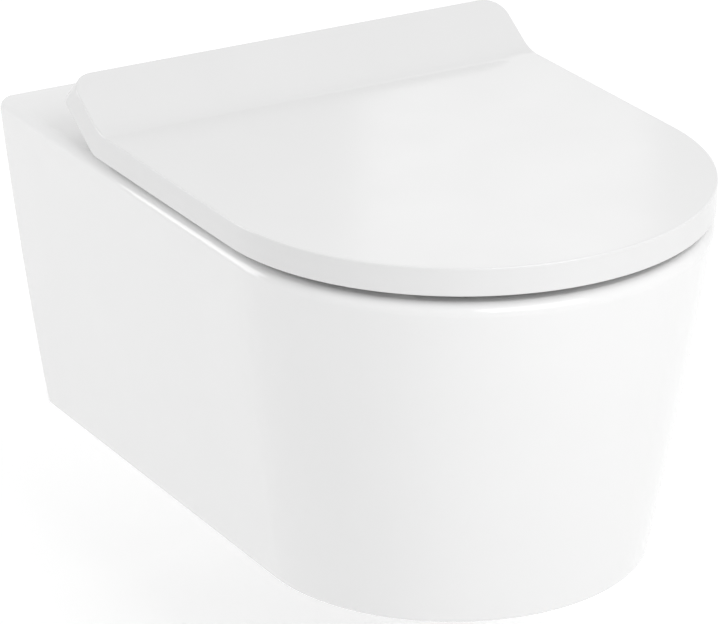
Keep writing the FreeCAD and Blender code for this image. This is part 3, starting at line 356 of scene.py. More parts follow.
# %% Skirt, rim and foot
DECK, DROP, RIM, FOOT, BACK_EDGE = 80.0, 252.0, 8.0, 4.5, 2.0
FLOOR = DECK - DROP
TOP_HALF, TAPER, TAPER_GROWTH, NOSE_AT, NOSE_DRAW = 176.0, 0.105, 0.00012, 363.97, 0.048


def half_width(depth):
    """Half the pan's width at a depth below the deck, by the formula above."""
    return TOP_HALF - TAPER * depth - TAPER_GROWTH * depth ** 2


def nose_centre(depth):
    """Where the nose's half circle has its centre at a depth below the deck."""
    return -(NOSE_AT - NOSE_DRAW * depth)


round_back = np.linspace(np.pi / 2, 0, 5)
down_side = np.linspace(0, 1, 30)[1:]
round_nose = np.linspace(0, np.pi, 121)[1:-1]
beta = np.concatenate([0 * round_back, 0 * down_side, round_nose, np.pi + 0 * down_side,
                       np.pi + 0 * round_back])
along = np.concatenate([0 * round_back, down_side, 1 + 0 * round_nose, down_side[::-1], 0 * round_back])
edge_turn = np.concatenate([round_back, 0 * beta[5:-5], round_back[::-1]])
pull, lift_y = BACK_EDGE * (1 - np.cos(edge_turn)), BACK_EDGE * np.sin(edge_turn)
ahead_share = np.maximum(np.sin(beta), 0)


def skirt_rows(outline_depth, inset, z):
    """The U at a depth, moved in by inset: x = -(r - pull) cos b and y = along * centre - r sin b.
    Small arcs at the wall round its two back edges."""
    r, c = half_width(outline_depth) - inset, nose_centre(outline_depth)
    x = -(r - pull) * np.cos(beta)
    y = -BACK_EDGE + lift_y + along * (c + BACK_EDGE) - r * np.sin(beta)
    return np.stack([x, y, np.broadcast_to(z, x.shape)], -1)


def lean(depth):
    """Angle by which the skirt's face tips below level: atan of how fast the outline shrinks with depth."""
    return np.arctan(TAPER + 2 * TAPER_GROWTH * depth + NOSE_DRAW * ahead_share)


rim_end = np.pi / 2 + lean(RIM)
rim_depth = RIM * (1 - np.cos(rim_end))
foot_start = np.pi / 2 + lean(DROP)
foot_depth = DROP - FOOT - FOOT * np.cos(foot_start)
part_way = np.linspace(0, 1, 10)[:, None]
rim_angle = part_way * rim_end
rim = skirt_rows(rim_depth, RIM * (np.sin(rim_end) - np.sin(rim_angle)), DECK - RIM * (1 - np.cos(rim_angle)))
depths = rim_depth + np.linspace(0, 1, 42)[1:-1, None] * (foot_depth - rim_depth)
skirt = skirt_rows(depths, 0, DECK - depths)
foot_angle = foot_start + part_way * (np.pi - foot_start)
foot = skirt_rows(foot_depth, FOOT * (np.sin(foot_start) - np.sin(foot_angle)),
                  FLOOR + FOOT + FOOT * np.cos(foot_angle))
outer_skin = np.concatenate([rim, skirt, foot])
print("outer skin grid:", outer_skin.shape)

# %% [markdown]
# ## The bowl
# The mouth is an upright oval 260 mm wide with a 6 mm rounded edge. Below an 8 mm lip the bowl
# narrows to a sump: its half width falls as 1 - t^1.6 while its rear wall comes forward as
# 1 - t^1.1, so the back is steeper than the front. The last rows round off into the sump floor.

# %% Bowl surface
MOUTH_HALF, MOUTH_ROUND, LIP, SUMP = 130.0, 6.0, 8.0, -160.0
MOUTH_NOSE, MOUTH_BACK, SUMP_HALF, SUMP_NOSE, SUMP_BACK = 494, 205, 26, 328, 268
oval_arc = np.linspace(0, np.pi, 61)
oval_side = np.linspace(0, 1, 6)[1:-1]
oval_angle = np.concatenate([oval_arc, np.pi + 0 * oval_side, np.pi + oval_arc, 0 * oval_side])
oval_end = np.concatenate([1 + 0 * oval_arc, 1 - oval_side, 0 * oval_arc, oval_side])


def oval_rows(half, front, rear, z):
    """An oval: half circles of radius half about (0, front) and (0, rear), joined by straight sides."""
    half, front, rear, z = (np.atleast_1d(np.array(v, float))[:, None] for v in (half, front, rear, z))
    x = half * np.cos(oval_angle)
    y = front + (rear - front) * oval_end + half * np.sin(oval_angle)
    return np.stack(np.broadcast_arrays(x, y, z), -1)


a = np.linspace(0, np.pi / 2, 9)
mouth_front, mouth_rear = -(MOUTH_NOSE - MOUTH_HALF), -(MOUTH_BACK + MOUTH_HALF)
mouth = oval_rows(MOUTH_HALF + MOUTH_ROUND * (1 - np.sin(a)), mouth_front, mouth_rear,
                  DECK - MOUTH_ROUND * (1 - np.cos(a)))
t = np.linspace(0, 0.94, 48)
swell, rear_swell = 1 - t ** 1.6, 1 - t ** 1.1
bowl_half = SUMP_HALF + swell * (MOUTH_HALF - SUMP_HALF)
bowl_front = -(SUMP_NOSE + swell * (MOUTH_NOSE - SUMP_NOSE)) + bowl_half
bowl_rear = -(SUMP_BACK - rear_swell * (SUMP_BACK - MOUTH_BACK)) - bowl_half
bowl_z = (DECK - LIP) - t * (DECK - LIP - SUMP)
walls = oval_rows(bowl_half, bowl_front, bowl_rear, bowl_z)
turn_in = bowl_z[-1] - SUMP
floor_half = bowl_half[-1] - turn_in * (1 - np.cos(a[1:]))
sump = oval_rows(floor_half, bowl_front[-1], bowl_rear[-1], bowl_z[-1] - turn_in * np.sin(a[1:]))
shrink = np.linspace(1, 0, 5)[1:]
middle_y = (bowl_front[-1] + bowl_rear[-1]) / 2
floor_rows = oval_rows(floor_half[-1] * shrink, middle_y + (bowl_front[-1] - middle_y) * shrink,
                       middle_y + (bowl_rear[-1] - middle_y) * shrink, SUMP)
bowl = np.concatenate([mouth, walls, sump, floor_rows])
print("bowl grid:", bowl.shape)

# %% [markdown]
# ## The pan's back
# The back wall is flat against the room's wall. Two 24 mm holes take the wall bolts, a 55 mm
# socket takes the flush pipe, and an arch leaves room for the waste connector round its spigot.
# Behind the wall the casting is hollow. Each opening is an outline cut out of a flat face, and
# a short wall that joins it to the next face in.

# %% Openings and the hollow behind them
BACK_WALL, HOLLOW_END, CEILING, HOLLOW_FLOOR, SIDE_WALL = -14.0, -190.0, 66.0, -161.0, 11
ARCH, OUTLET_Z, INLET_Z = 74.0, -100.0, 35.0
arch_turn = np.linspace(np.pi, 0, 49)
arch_top = np.column_stack([ARCH * np.cos(arch_turn), OUTLET_Z + ARCH * np.sin(arch_turn)])
arch = np.vstack([[-ARCH, FLOOR], [-ARCH, HOLLOW_FLOOR], arch_top, [ARCH, HOLLOW_FLOOR], [ARCH, FLOOR]])
left_edge, right_edge = outer_skin[:, 0, [0, 2]], outer_skin[:, -1, [0, 2]]
back_outline = np.vstack([left_edge, arch, right_edge[::-1]])
foot_cut = [[ARCH, 0], [ARCH, BACK_WALL], [-ARCH, BACK_WALL], [-ARCH, 0]]
foot_outline = np.vstack([outer_skin[-1, :, :2], foot_cut])
inner_z = np.linspace(CEILING, HOLLOW_FLOOR, 30)
inner_half = half_width(DECK - inner_z) - SIDE_WALL
inner_left, inner_right = np.column_stack([-inner_half, inner_z]), np.column_stack([inner_half, inner_z])
hollow_outline = np.vstack([inner_left, arch[1:-1], inner_right[::-1]])
BOLT_X, BOLT_RADIUS, BOSS_RADIUS, BOSS_END = 90, 12, 27, -30
INLET_RADIUS, INLET_END, SOCKET_RADIUS, SOCKET_END, SLOT_END = 27.5, -60, 36.5, -66, -63
SEAT_HOLE_X, SEAT_HOLE_Y, SEAT_HOLE_RADIUS = 77.5, -130, 10
bolt_holes = [ring_at(BOLT_RADIUS, side * BOLT_X, 0) for side in (-1, 1)]
bosses = [ring_at(BOSS_RADIUS, side * BOLT_X, 0) for side in (-1, 1)]
inlet, socket = ring_at(INLET_RADIUS, 0, INLET_Z), ring_at(SOCKET_RADIUS, 0, INLET_Z)
socket[:, 1] = np.minimum(socket[:, 1], CEILING - 0.5)
seat_holes = [ring_at(SEAT_HOLE_RADIUS, side * SEAT_HOLE_X, SEAT_HOLE_Y) for side in (-1, 1)]


def wall_between(outline, y_from, y_to, loop=True):
    """An outline in XZ carried straight along Y."""
    return grid(np.stack([upright(y)(outline) for y in (y_from, y_to)]), loop=loop)


slot_hole = softened([(-19, 43), (19, 43), (16, 57), (-16, 57)], (4, 4, 4, 4))
hollow_loop = np.array([[-inner_half[0], BACK_WALL], [inner_half[0], BACK_WALL],
                        [inner_half[0], HOLLOW_END], [-inner_half[0], HOLLOW_END]])
hollow_foot = np.array([[-inner_half[-1], BACK_WALL], [-ARCH, BACK_WALL], [ARCH, BACK_WALL],
                        [inner_half[-1], BACK_WALL], [inner_half[-1], HOLLOW_END],
                        [-inner_half[-1], HOLLOW_END]])
slab_end = np.array([[-ARCH, FLOOR], [ARCH, FLOOR], [ARCH, HOLLOW_FLOOR], [-ARCH, HOLLOW_FLOOR]])
pan_patches = [
    grid(outer_skin), grid(bowl, loop=True),
    flat([outer_skin[0, :, :2], bowl[0, :, :2], *seat_holes], level(DECK)),
    flat([foot_outline], level(FLOOR)),
    flat([back_outline, *bolt_holes, inlet], upright(0)),
    wall_between(arch, 0, BACK_WALL, loop=False), flat([slab_end], upright(BACK_WALL)),
    flat([hollow_outline, *bosses, socket], upright(BACK_WALL)),
    wall_between(inner_left, BACK_WALL, HOLLOW_END, loop=False),
    wall_between(inner_right, BACK_WALL, HOLLOW_END, loop=False),
    flat([hollow_loop, *seat_holes], level(CEILING)), flat([hollow_foot], level(HOLLOW_FLOOR)),
    flat([np.vstack([inner_left, inner_right[::-1]])], upright(HOLLOW_END)),
    wall_between(inlet, 0, INLET_END), flat([inlet, slot_hole], upright(INLET_END)),
    wall_between(slot_hole, INLET_END, SLOT_END), flat([slot_hole], upright(SLOT_END)),
    wall_between(socket, BACK_WALL, SOCKET_END), flat([socket], upright(SOCKET_END))]
for bolt_hole, boss in zip(bolt_holes, bosses):
    pan_patches += [wall_between(bolt_hole, 0, BOSS_END), flat([boss, bolt_hole], upright(BOSS_END)),
                    wall_between(boss, BOSS_END, BACK_WALL)]
for seat_hole in seat_holes:
    rows = np.stack([level(z)(seat_hole) for z in (DECK, CEILING)])
    pan_patches.append(grid(rows, loop=True))
outlet_nodes = sorted(name for name in nodes if name in ("pan_trapway", "pan_spigot"))
casting = sorted(name for name in nodes if name.startswith("pan_") and name not in outlet_nodes)
pan = build("china_pan", pan_patches, "pan", "vitreous_china", *casting)

# %% [markdown]
# ## The trapway
# Waste leaves the sump through a 60 mm bore that climbs over a weir and drops to the spigot, so
# water always seals it. Its mouth is cut out of the bowl with a Boolean, because a round bore
# through a curved wall has no simple outline. The pipe behind the bowl is a thick tube along a
# bent line: outside, far end, inside and the spigot's face in one closed profile.

# %% Trap mouth
TRAP_BORE, TRAP_OUTSIDE, TRAP_BEND, SUMP_OUTLET_Z, CORE_ENDS = 30.0, 38.0, 38.0, -127, (-300, -212)
trap_y = np.linspace(*CORE_ENDS, 12)
core_line = np.column_stack([0 * trap_y, trap_y, SUMP_OUTLET_Z + 0 * trap_y])
core = tube(core_line, (1, 0, 0), TRAP_BORE, around=64)
near_end, far_end = (0 * row + row.mean(1, keepdims=True) for row in (core[:1], core[-1:]))
core = np.concatenate([near_end, core, far_end])
cutter = build("trap_core", [grid(core, loop=True)], "pan", "vitreous_china")
carve = pan.modifiers.new("trap_mouth", "BOOLEAN")
carve.object, carve.operation, carve.solver = cutter, "DIFFERENCE", "EXACT"
pan.modifiers.remove(pan.modifiers["even_shading"])
carved = bpy.data.meshes.new_from_object(pan.evaluated_get(bpy.context.evaluated_depsgraph_get()))
pan.modifiers.clear()
pan.data = carved
bpy.data.objects.remove(cutter)
skin = bmesh.new()
skin.from_mesh(carved)
crease(skin)
skin.to_mesh(carved)
skin.free()
pan.modifiers.new("even_shading", "WEIGHTED_NORMAL").keep_sharp = True
print("pan after carving:", len(carved.polygons), "faces", [m.name for m in carved.materials])

# %% [markdown]
# From the sump's outlet the pipe rises to the weir, runs level and falls to the spigot. Its line
# is a few straight runs with an arc of one radius at each corner, so a handful of points give it.

# %% Spigot and trap pipe
def bent_path(corners, radius, steps=16):
    """Straight runs through the corners, with an arc of one radius at each inner corner."""
    corners = np.array(corners, float)
    arcs = rounded(corners[1:-1], corners[:-2], corners[2:], radius, steps)
    return np.vstack([corners[:1], arcs, corners[-1:]])


line = bent_path([(-50, OUTLET_Z), (-74, OUTLET_Z), (-115, -17), (-171, -17), (-231, SUMP_OUTLET_Z),
                  (-258, SUMP_OUTLET_Z)], TRAP_BEND)
line = np.column_stack([0 * line[:, 0], line])


def stations(y, radius):
    """Rings on the spigot's axis, in step with the bent tube's: x = r sin u, z = axis - r cos u."""
    u = np.linspace(0, 2 * np.pi, 64, endpoint=False)
    y, radius = np.array(y, float)[:, None], np.array(radius, float)[:, None]
    return np.stack([radius * np.sin(u), y + 0 * u, OUTLET_Z - radius * np.cos(u)], -1)


far_outside, far_inside = (tube(line, (1, 0, 0), radius, 64) for radius in (TRAP_OUTSIDE, TRAP_BORE))
outside = stations([0, -0.6, -49.4, -50], [50.4, 51, 51, 50.4])
inner = stations([-49.5, -35.6, -35, -34.4, -1, 0], [30, 30, 30.6, 42, 42, 42.8])
pipe = np.concatenate([outside, far_outside, far_inside[::-1], inner, outside[:1]])
build("china_trap_pipe", [grid(pipe, loop=True)], "pan", "vitreous_china", *outlet_nodes)

# %% [markdown]
# ## The lid
# The lid is a flat plate with a 20 mm side band. Behind the seat it bends up into a ramp, like a
# sheet folded over a rod. So it is drawn flat first, as an outline and a cross section, and then
# bent: a point at a flat distance q and a depth d goes round an arc of 38 mm at the top face and
# 19 mm at the band's lower edge, and on up the ramp at 32.4 degrees.

# %% Bending the flat lid
TOP, BAND, RAMP_BAND, SKIN, LID_WALL = 106.3, 20.0, 22.0, 5.5, 6.0
SLOPE = math.radians(32.4)
BEND_Y, RAMP_END, TOP_BEND, LOW_BEND, EASE_IN = -168.0, -123.0, 38.0, 19.0, 60
RISE = TOP + (RAMP_END - BEND_Y) * math.tan(SLOPE)
BEND_START = BEND_Y - TOP_BEND * math.tan(SLOPE / 2)
ARC = TOP_BEND * SLOPE
FLAT_END = BEND_START + ARC + (RAMP_END - BEND_Y) / math.cos(SLOPE) - TOP_BEND * math.tan(SLOPE / 2)
LOW_SHIFT = (RAMP_BAND - BAND * math.cos(SLOPE)) / math.sin(SLOPE)


def bend_up(x, q, d):
    """Flat plate to bent lid. g is the share of the bend passed and f the share of the band's depth;
    radius, centre and ramp end are all straight mixes in f of the top face's and the lower edge's.
    Over the last EASE_IN before the bend, lower points slide towards the wall to meet its start."""
    s = q - BEND_START
    g = np.clip(s / ARC, 0, 1)
    f = d / (BAND + (RAMP_BAND - BAND) * g)
    radius = TOP_BEND + (LOW_BEND - TOP_BEND) * f
    start = BEND_Y + LOW_SHIFT * f - radius * math.tan(SLOPE / 2)
    ease = np.clip(1 + s / EASE_IN, 0, 1)
    ease = ease * ease * (3 - 2 * ease)
    y = q + (start - BEND_START) * ease
    z = TOP - BAND * f
    y_arc, z_arc = start + radius * np.sin(g * SLOPE), z + radius * (1 - np.cos(g * SLOPE))
    y_end, z_end = start + radius * math.sin(SLOPE), z + radius * (1 - math.cos(SLOPE))
    k = np.clip((s - ARC) / (FLAT_END - BEND_START - ARC), 0, None)
    y_ramp = y_end + k * (RAMP_END + RAMP_BAND * f * math.sin(SLOPE) - y_end)
    z_ramp = z_end + k * (RISE - RAMP_BAND * f * math.cos(SLOPE) - z_end)
    y = np.where(s < 0, y, np.where(g < 1, y_arc, y_ramp))
    z = np.where(s < 0, z, np.where(g < 1, z_arc, z_ramp))
    return np.stack(np.broadcast_arrays(x, y, z), -1)


# %% [markdown]
# The outline runs down one side, round the nose, back up and across the rear edge with its two
# rounded corners. The cross section starts on the middle line of the top face, turns over the
# 1.2 mm edge, down the band, under it and up inside. Over the two hinges the rear wall is
# notched, so there the band's depth shrinks to 9 mm.

# %% Lid outline and section
LID_HALF, LID_NOSE, TOP_CORNER, LOW_CORNER = 178.5, -359.4, 17.0, 7.0
TOP_EDGE, LOW_EDGE, INNER_FOOT, NOTCH_DEPTH, NOTCH_REACH, NOTCH_FADE = 1.2, 0.8, 3.0, 13, 7.5, 2.5
side_share = np.sort(np.concatenate([np.linspace(0, 1, 34), np.linspace(0.13, 0.34, 24)[1:-1]]))
nose_turn = np.linspace(0, np.pi, 141)[1:-1]
corner_turn = np.linspace(0, np.pi / 2, 9)[1:-1]
notch_edges = np.array([58.5, 93.0])
rear_x = np.concatenate([[1.0], np.linspace(0.99, 0.55, 12), np.linspace(0.535, 0.505, 7),
                         np.linspace(0.49, 0.36, 5), np.linspace(0.345, 0.31, 7), np.linspace(0.29, 0.02, 9)])
rear_x = np.concatenate([rear_x, -rear_x[::-1]])


def lid_outline(inset, corner):
    """Outlines moved in by inset, one row each: sides, nose arc, rear corners and rear edge in turn."""
    inset, corner = inset[:, None], corner[:, None]
    h, rear, r = LID_HALF - inset, FLAT_END - inset, np.maximum(corner - inset, 0.6)
    run = rear - r + (LID_NOSE - rear + r) * side_share
    x = np.concatenate([-h + 0 * run, -h * np.cos(nose_turn), h + 0 * run, h - r + r * np.cos(corner_turn),
                        (h - r) * rear_x, r - h - r * np.cos(corner_turn[::-1])], 1)
    q = np.concatenate([run, LID_NOSE - h * np.sin(nose_turn), run[:, ::-1],
                        rear - r + r * np.sin(corner_turn), rear + 0 * rear_x,
                        rear - r + r * np.sin(corner_turn[::-1])], 1)
    return x, q


def lid_section():
    """Quarter circles at the band's edges, from the top's edge to the inside, one row for each point:
    its inset, its share of the band's depth (0 top, 1 lower edge) and its plain depth."""
    turn = np.linspace(0, np.pi / 2, 6)
    start, end = 1 - np.sin(turn), 1 - np.cos(turn)
    arcs = [(TOP_EDGE * start, 0, TOP_EDGE * end), (LOW_EDGE * end, 1, -LOW_EDGE * start),
            (LID_WALL - LOW_EDGE * start, 1, -LOW_EDGE * end),
            (LID_WALL + INNER_FOOT * end, 0, SKIN + INNER_FOOT * start)]
    return np.vstack([np.column_stack(np.broadcast_arrays(*arc)) for arc in arcs])


section = lid_section()
top_insets, under_insets = np.array([24.0, 12.0, 4.0]), np.array([14.0, 26.0])
insets = np.concatenate([top_insets, section[:, 0], under_insets])
share = np.concatenate([0 * top_insets, section[:, 1], 0 * under_insets])[:, None]
plain = np.concatenate([0 * top_insets, section[:, 2], SKIN + 0 * under_insets])[:, None]
lid_x, lid_q = lid_outline(insets, TOP_CORNER + (LOW_CORNER - TOP_CORNER) * share[:, 0])
on_ramp = np.clip((lid_q - BEND_START) / ARC, 0, 1)
full_depth = BAND + (RAMP_BAND - BAND) * on_ramp
gap = np.abs(np.abs(lid_x) - notch_edges.mean()) - np.diff(notch_edges)[0] / 2
in_notch = np.clip(0.5 - gap / NOTCH_FADE, 0, 1)
in_notch = in_notch * in_notch * (3 - 2 * in_notch) * (lid_q > FLAT_END - NOTCH_REACH)
lid_d = share * (full_depth - NOTCH_DEPTH * in_notch) + plain


def to_spine(x, q, steps):
    """Rows from an inner outline to the lid's middle line: each point slides to x = 0 at its own q."""
    target = np.clip(q, LID_NOSE, q.max())
    k = np.array(steps)[:, None]
    return x * (1 - k), q + (target - q) * k


spine_steps = [0.25, 0.5, 0.75, 1.0]
top_x, top_q = to_spine(lid_x[0], lid_q[0], spine_steps[::-1])
under_x, under_q = to_spine(lid_x[-1], lid_q[-1], spine_steps)
all_x, all_q = np.vstack([top_x, lid_x, under_x]), np.vstack([top_q, lid_q, under_q])
all_d = np.vstack([0 * top_x, lid_d, SKIN + 0 * under_x])
lid_skin = bend_up(all_x, all_q, all_d)
print("lid grid:", lid_skin.shape, "top edge", lid_skin[..., 2].max().round(2))

# %% [markdown]
# The lid turns on two barrels that hang below the ramp, each on a web. A barrel is a turned
# shape with a blind bore: the right one holds the damper and the left one a plain bush.

# %% Lid barrels and webs
AXIS_Y, AXIS_Z, LID_BARREL, SEAT_BARREL = -125.0, 101.0, (93.5, 131.5), (23.5, 61.5)
BARREL, DAMPER_BORE, BUSH_BORE, BORE_DEPTH, WEB_INSET = 11, 8.0, 6.5, 34.5, 0.1


def ramp_at(back, down):
    """(y, z) at a distance back from the ramp's end and square down from its face."""
    return (RAMP_END - back * math.cos(SLOPE) + down * math.sin(SLOPE),
            RISE - back * math.sin(SLOPE) - down * math.cos(SLOPE))


def barrel(open_end, closed_end, bore):
    """A blind turned barrel along X with eased edges, bored from its open end."""
    way = 1 if closed_end > open_end else -1
    bottom = open_end + BORE_DEPTH * way
    profile = [(0, closed_end), (BARREL - 1, closed_end), (BARREL - 0.3, closed_end - 0.3 * way),
               (BARREL, closed_end - way), (BARREL, open_end + 0.6 * way),
               (BARREL - 0.2, open_end + 0.2 * way), (BARREL - 0.6, open_end), (bore + 0.3, open_end),
               (bore, open_end + 0.3 * way), (bore, bottom), (0, bottom)]
    return turned(profile, (0, AXIS_Y, AXIS_Z), "x")


def web(outline, side, ends):
    """The sliced web or arm that carries a barrel, a hair shorter than the barrel at both ends."""
    low, high = ends[0] + WEB_INSET, ends[1] - WEB_INSET
    return sliced(outline, *sorted((side * low, side * high)))


web_outline = softened([ramp_at(30, 3), ramp_at(10, 3), ramp_at(10, 27), ramp_at(30, 27)], (1.5, 1.5, 4, 4))
lid_patches = [grid(lid_skin, loop=True)]
for side, bore in ((-1, BUSH_BORE), (1, DAMPER_BORE)):
    lid_patches += [web(web_outline, side, LID_BARREL),
                    barrel(side * LID_BARREL[0], side * LID_BARREL[1], bore)]
build("duroplast_lid", lid_patches, "lid", "white_duroplast", "lid_shell")

# %% [markdown]
# ## The seat ring
# The ring is a 12 mm plate between two outlines: the outer one follows the lid, the inner one is
# an oval 224 mm wide. Both are read along the same rays, and the section between them is a flat
# bar with its upper edges rounded by 5 mm, so that it is soft to sit on.

# %% Seat ring surface
RING_HALF, RING_NOSE, RING_BACK, RING_FOOT, RING_TOP = 170.5, -359.4, -172.0, 86.0, 98.0
RING_CORNER, RING_EDGE, RING_UNDER, OPENING_HALF, OPENING_ENDS = 12.0, 5, 2, 112, (-358.0, -346.0)
ring_side = np.linspace(0, 1, 22)
ring_corner = np.linspace(0, np.pi / 2, 9)[1:-1]
ring_rear = np.linspace(1, -1, 33)


def ring_outer(inset):
    """The ring's outline moved in by inset: sides, nose half circle, rear corners of 12 mm and rear edge."""
    h, rear, r = RING_HALF - inset, RING_BACK - inset, RING_CORNER - min(inset, RING_CORNER / 2)
    run = rear - r + (RING_NOSE - rear + r) * ring_side
    turn = np.linspace(0, np.pi, 121)[1:-1]
    x = np.concatenate([-h + 0 * run, -h * np.cos(turn), h + 0 * run, h - r + r * np.cos(ring_corner),
                        (h - r) * ring_rear, r - h - r * np.cos(ring_corner[::-1])])
    y = np.concatenate([run, RING_NOSE - h * np.sin(turn), run[::-1], rear - r + r * np.sin(ring_corner),
                        rear + 0 * ring_rear, rear - r + r * np.sin(ring_corner[::-1])])
    return np.column_stack([x, y])


def ring_inner(toward, grow):
    """The opening's oval, met by rays from its middle: straight side where |x| rules, else the end arcs."""
    half, mid, (low, high) = OPENING_HALF + grow, sum(OPENING_ENDS) / 2, OPENING_ENDS
    way = toward - [0, mid]
    way = way / np.linalg.norm(way, axis=1)[:, None]
    centre = np.where(way[:, 1] > 0, high, low) - mid
    to_arc = way[:, 1] * centre + np.sqrt(np.maximum(half ** 2 - (way[:, 0] * centre) ** 2, 0))
    to_side = half / np.maximum(np.abs(way[:, 0]), 1e-9)
    reach = np.where(np.abs(to_side * way[:, 1]) < high - mid, to_side, to_arc)
    return way * reach[:, None] + [0, mid]


turn = np.linspace(0, np.pi / 2, 7)
edge_in, edge_z = RING_EDGE * (1 - np.sin(turn)), RING_TOP - RING_EDGE * (1 - np.cos(turn))
foot_in, foot_z = RING_UNDER * (1 - np.cos(turn)), RING_FOOT + RING_UNDER * (1 - np.sin(turn))
outer_ref, across_top = ring_outer(0), np.linspace(0, 1, 11)[1:-1]
outer_flat, inner_flat = ring_outer(RING_EDGE), ring_inner(outer_ref, RING_EDGE)
rows = [level(z)(ring_inner(outer_ref, g)) for g, z in zip(edge_in[::-1], edge_z[::-1])]
rows += [level(RING_TOP)(inner_flat + k * (outer_flat - inner_flat)) for k in across_top]
rows += [level(z)(ring_outer(g)) for g, z in zip(edge_in, edge_z)]
rows += [level(z)(ring_outer(g)) for g, z in zip(foot_in, foot_z)]
rows += [level(z)(ring_inner(outer_ref, g)) for g, z in zip(foot_in[::-1], foot_z[::-1])]
ring_rows = np.stack(rows + rows[:1])
print("seat ring grid:", ring_rows.shape)

# %% [markdown]
# Behind the ring two arms reach back and up to the hinge axis. Each ends in a barrel like the
# lid's: the left one holds the seat's damper and the right one a plain bush.

# %% Seat arms and barrels
arm_outline = softened([(-182, 88), (-182, 96.5), (-158, 97), (-134, 109.5), (-121, 108), (-119, 94),
                        (-134, 91), (-146, 87.5)], (1, 1, 14, 6, 6, 5, 4, 10))
seat_patches = [grid(ring_rows, loop=True)]
for side, bore in ((-1, DAMPER_BORE), (1, BUSH_BORE)):
    seat_patches += [web(arm_outline, side, SEAT_BARREL),
                     barrel(side * SEAT_BARREL[1], side * SEAT_BARREL[0], bore)]
build("duroplast_seat", seat_patches, "seat", "white_duroplast", "seat_ring")

# %% [markdown]
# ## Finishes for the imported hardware
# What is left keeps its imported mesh. Each node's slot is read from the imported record, and its
# material slots get the matching finish. Nodes that a new piece stands for stay hidden.

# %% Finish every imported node
slot_of_node = {part["node"]: part["material_slot"] for part in frame["record"].get("subparts", [])
                if "material_slot" in part}
print("slots read from the record:", len(slot_of_node))
for name, node in nodes.items():
    slot_name = slot_of_node.get(name)
    if slot_name is None:
        print("no slot in the record for", name)
        continue
    node.data.materials.clear()
    node.data.materials.append(finish_of_slot[slot_name])

# %% [markdown]
# ## Studio
# The picture has no visible floor line: a plain pale floor lies 320 mm below the wall bolts, where
# a room's floor would be, and the world is a white tent. The camera, mirror rays and rays through
# glass see the tent as pure white. White ware shows its form only where its light is uneven, so
# the tent lights it less from near the horizon, from in front and from behind.

# %% Rays that show the background
def shows_background(tree):
    """1 for rays from the camera, mirror rays and rays through glass, else 0: the largest of the three."""
    ray = add_node(tree, "ShaderNodeLightPath").outputs
    direct = add_node(tree, "ShaderNodeMath", {"operation": "MAXIMUM"},
                      {0: ray["Is Camera Ray"], 1: ray["Is Glossy Ray"]}).outputs[0]
    return add_node(tree, "ShaderNodeMath", {"operation": "MAXIMUM"},
                    {0: direct, 1: ray["Is Transmission Ray"]}).outputs[0]


# %% Floor
floor_size, floor_z = 8.0, -0.32
floor_mesh = bpy.data.meshes.new("studio_floor")
corners = [(x * floor_size, y * floor_size, floor_z) for x, y in ((-1, -1), (1, -1), (1, 1), (-1, 1))]
floor_mesh.from_pydata(corners, [], [(0, 1, 2, 3)])
floor = bpy.data.objects.new("studio_floor", floor_mesh)
bpy.context.scene.collection.objects.link(floor)
floor_paint = bpy.data.materials.new("white_floor_paint")
floor_paint.use_nodes = True
tree = floor_paint.node_tree
paint = tree.nodes["Principled BSDF"]
paint.inputs["Base Color"].default_value = linear("#F2F2F2")
paint.inputs["Roughness"].default_value = 0.9
glow = add_node(tree, "ShaderNodeEmission", {"Color": (1, 1, 1, 1), "Strength": 0.26})
shown = add_node(tree, "ShaderNodeMixShader", {}, {0: shows_background(tree)})
glowing = add_node(tree, "ShaderNodeAddShader", {}, {0: paint.outputs[0], 1: glow.outputs[0]})
tree.links.new(paint.outputs[0], shown.inputs[1])
tree.links.new(glowing.outputs[0], shown.inputs[2])
tree.links.new(shown.outputs[0], tree.nodes["Material Output"].inputs["Surface"])
floor_mesh.materials.append(floor_paint)
print("floor", 2 * floor_size, "m wide at z", floor_z)

# %% World
world = bpy.data.worlds.new("white_tent")
bpy.context.scene.world = world
world.use_nodes = True
tree = world.node_tree
tree.nodes["Background"].inputs["Color"].default_value = linear("#FDFDFD")
HORIZON, ZENITH, FRONT_SHADE, BACK_SHADE, TENT = 0.85, 1.0, 0.5, 0.6, 0.91
UP, FRONT_LEFT, BEHIND = (0, 0, 1), (-0.52, -0.85, 0), (0.48, 0.78, 0.39)
facing = add_node(tree, "ShaderNodeTexCoord").outputs["Generated"]
levels = []
for toward, start, low, high in ((UP, 0, HORIZON * TENT, ZENITH * TENT), (FRONT_LEFT, 0.55, 1, FRONT_SHADE),
                                 (BEHIND, 0.8, 1, BACK_SHADE)):
    along = add_node(tree, "ShaderNodeVectorMath", {"operation": "DOT_PRODUCT", 1: toward}, {0: facing})
    fade = {"From Min": start, "From Max": 1, "To Min": low, "To Max": high}
    level_node = add_node(tree, "ShaderNodeMapRange", fade, {"Value": along.outputs["Value"]})
    levels.append(level_node.outputs["Result"])
both = add_node(tree, "ShaderNodeMath", {"operation": "MULTIPLY"}, {0: levels[0], 1: levels[1]})
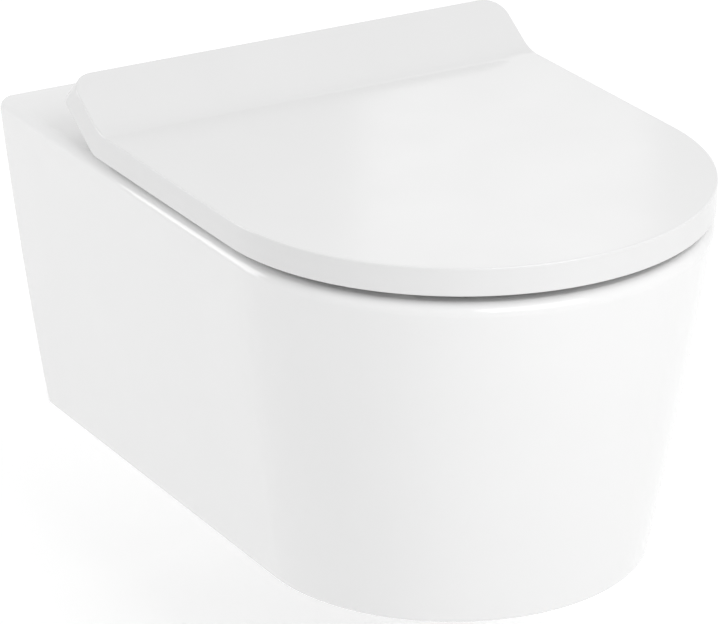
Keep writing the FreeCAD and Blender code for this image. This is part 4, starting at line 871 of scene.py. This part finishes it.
strength = add_node(tree, "ShaderNodeMath", {"operation": "MULTIPLY"}, {0: both.outputs[0], 1: levels[2]})
tree.links.new(strength.outputs[0], tree.nodes["Background"].inputs["Strength"])
seen = add_node(tree, "ShaderNodeBackground", {"Color": (1, 1, 1, 1), "Strength": 1.0})
mix = add_node(tree, "ShaderNodeMixShader", {}, {0: shows_background(tree),
               1: tree.nodes["Background"].outputs[0], 2: seen.outputs[0]})
tree.links.new(mix.outputs[0], tree.nodes["World Output"].inputs["Surface"])
print("tent", TENT, "of white, down to", FRONT_SHADE, "in front and", BACK_SHADE, "behind")

# %% [markdown]
# Three soft lamps of modest power stand outside the picture. The lens is long, so that the
# picture has the photo's flat perspective, and it points at about the middle of the casting.

# %% Lamps and camera
def aim(thing, place, target):
    """Put a lamp or camera at a place, looking at the target."""
    thing.location = place
    thing.rotation_mode = "QUATERNION"
    thing.rotation_quaternion = (Vector(target) - Vector(place)).to_track_quat("-Z", "Y")
    bpy.context.scene.collection.objects.link(thing)


def lamp(name, place, size, power):
    """A rectangular lamp of a width and height in metres and a power in watts, aimed at the pan."""
    light = bpy.data.lights.new(name, "AREA")
    light.shape, light.size, light.size_y, light.energy = "RECTANGLE", size[0], size[1], power
    aim(bpy.data.objects.new(name, light), place, PAN_MIDDLE)


PAN_MIDDLE = (0, -0.28, 0)
CAMERA_PLACE, CAMERA_AIM = (-1.5166, -2.8519, 1.2067), (-0.00506, -0.23482, -0.0415)
lamp("left_softbox", (-1.8, 1.5, 0.5), (0.9, 1.4), 9)
lamp("front_softbox", (0.1, -2.1, 1.3), (1.6, 1.2), 18)
lamp("lid_spotbox", (1.15, 1.42, 0.9), (0.35, 0.35), 0.16)

view = bpy.data.cameras.new("photo_camera")
view.lens, view.sensor_width = 227.16, 36.0
camera = bpy.data.objects.new("photo_camera", view)
aim(camera, CAMERA_PLACE, CAMERA_AIM)
bpy.context.scene.camera = camera
bpy.context.scene.view_settings.view_transform = "Standard"
print("camera at", CAMERA_PLACE, "lens", view.lens, "mm")
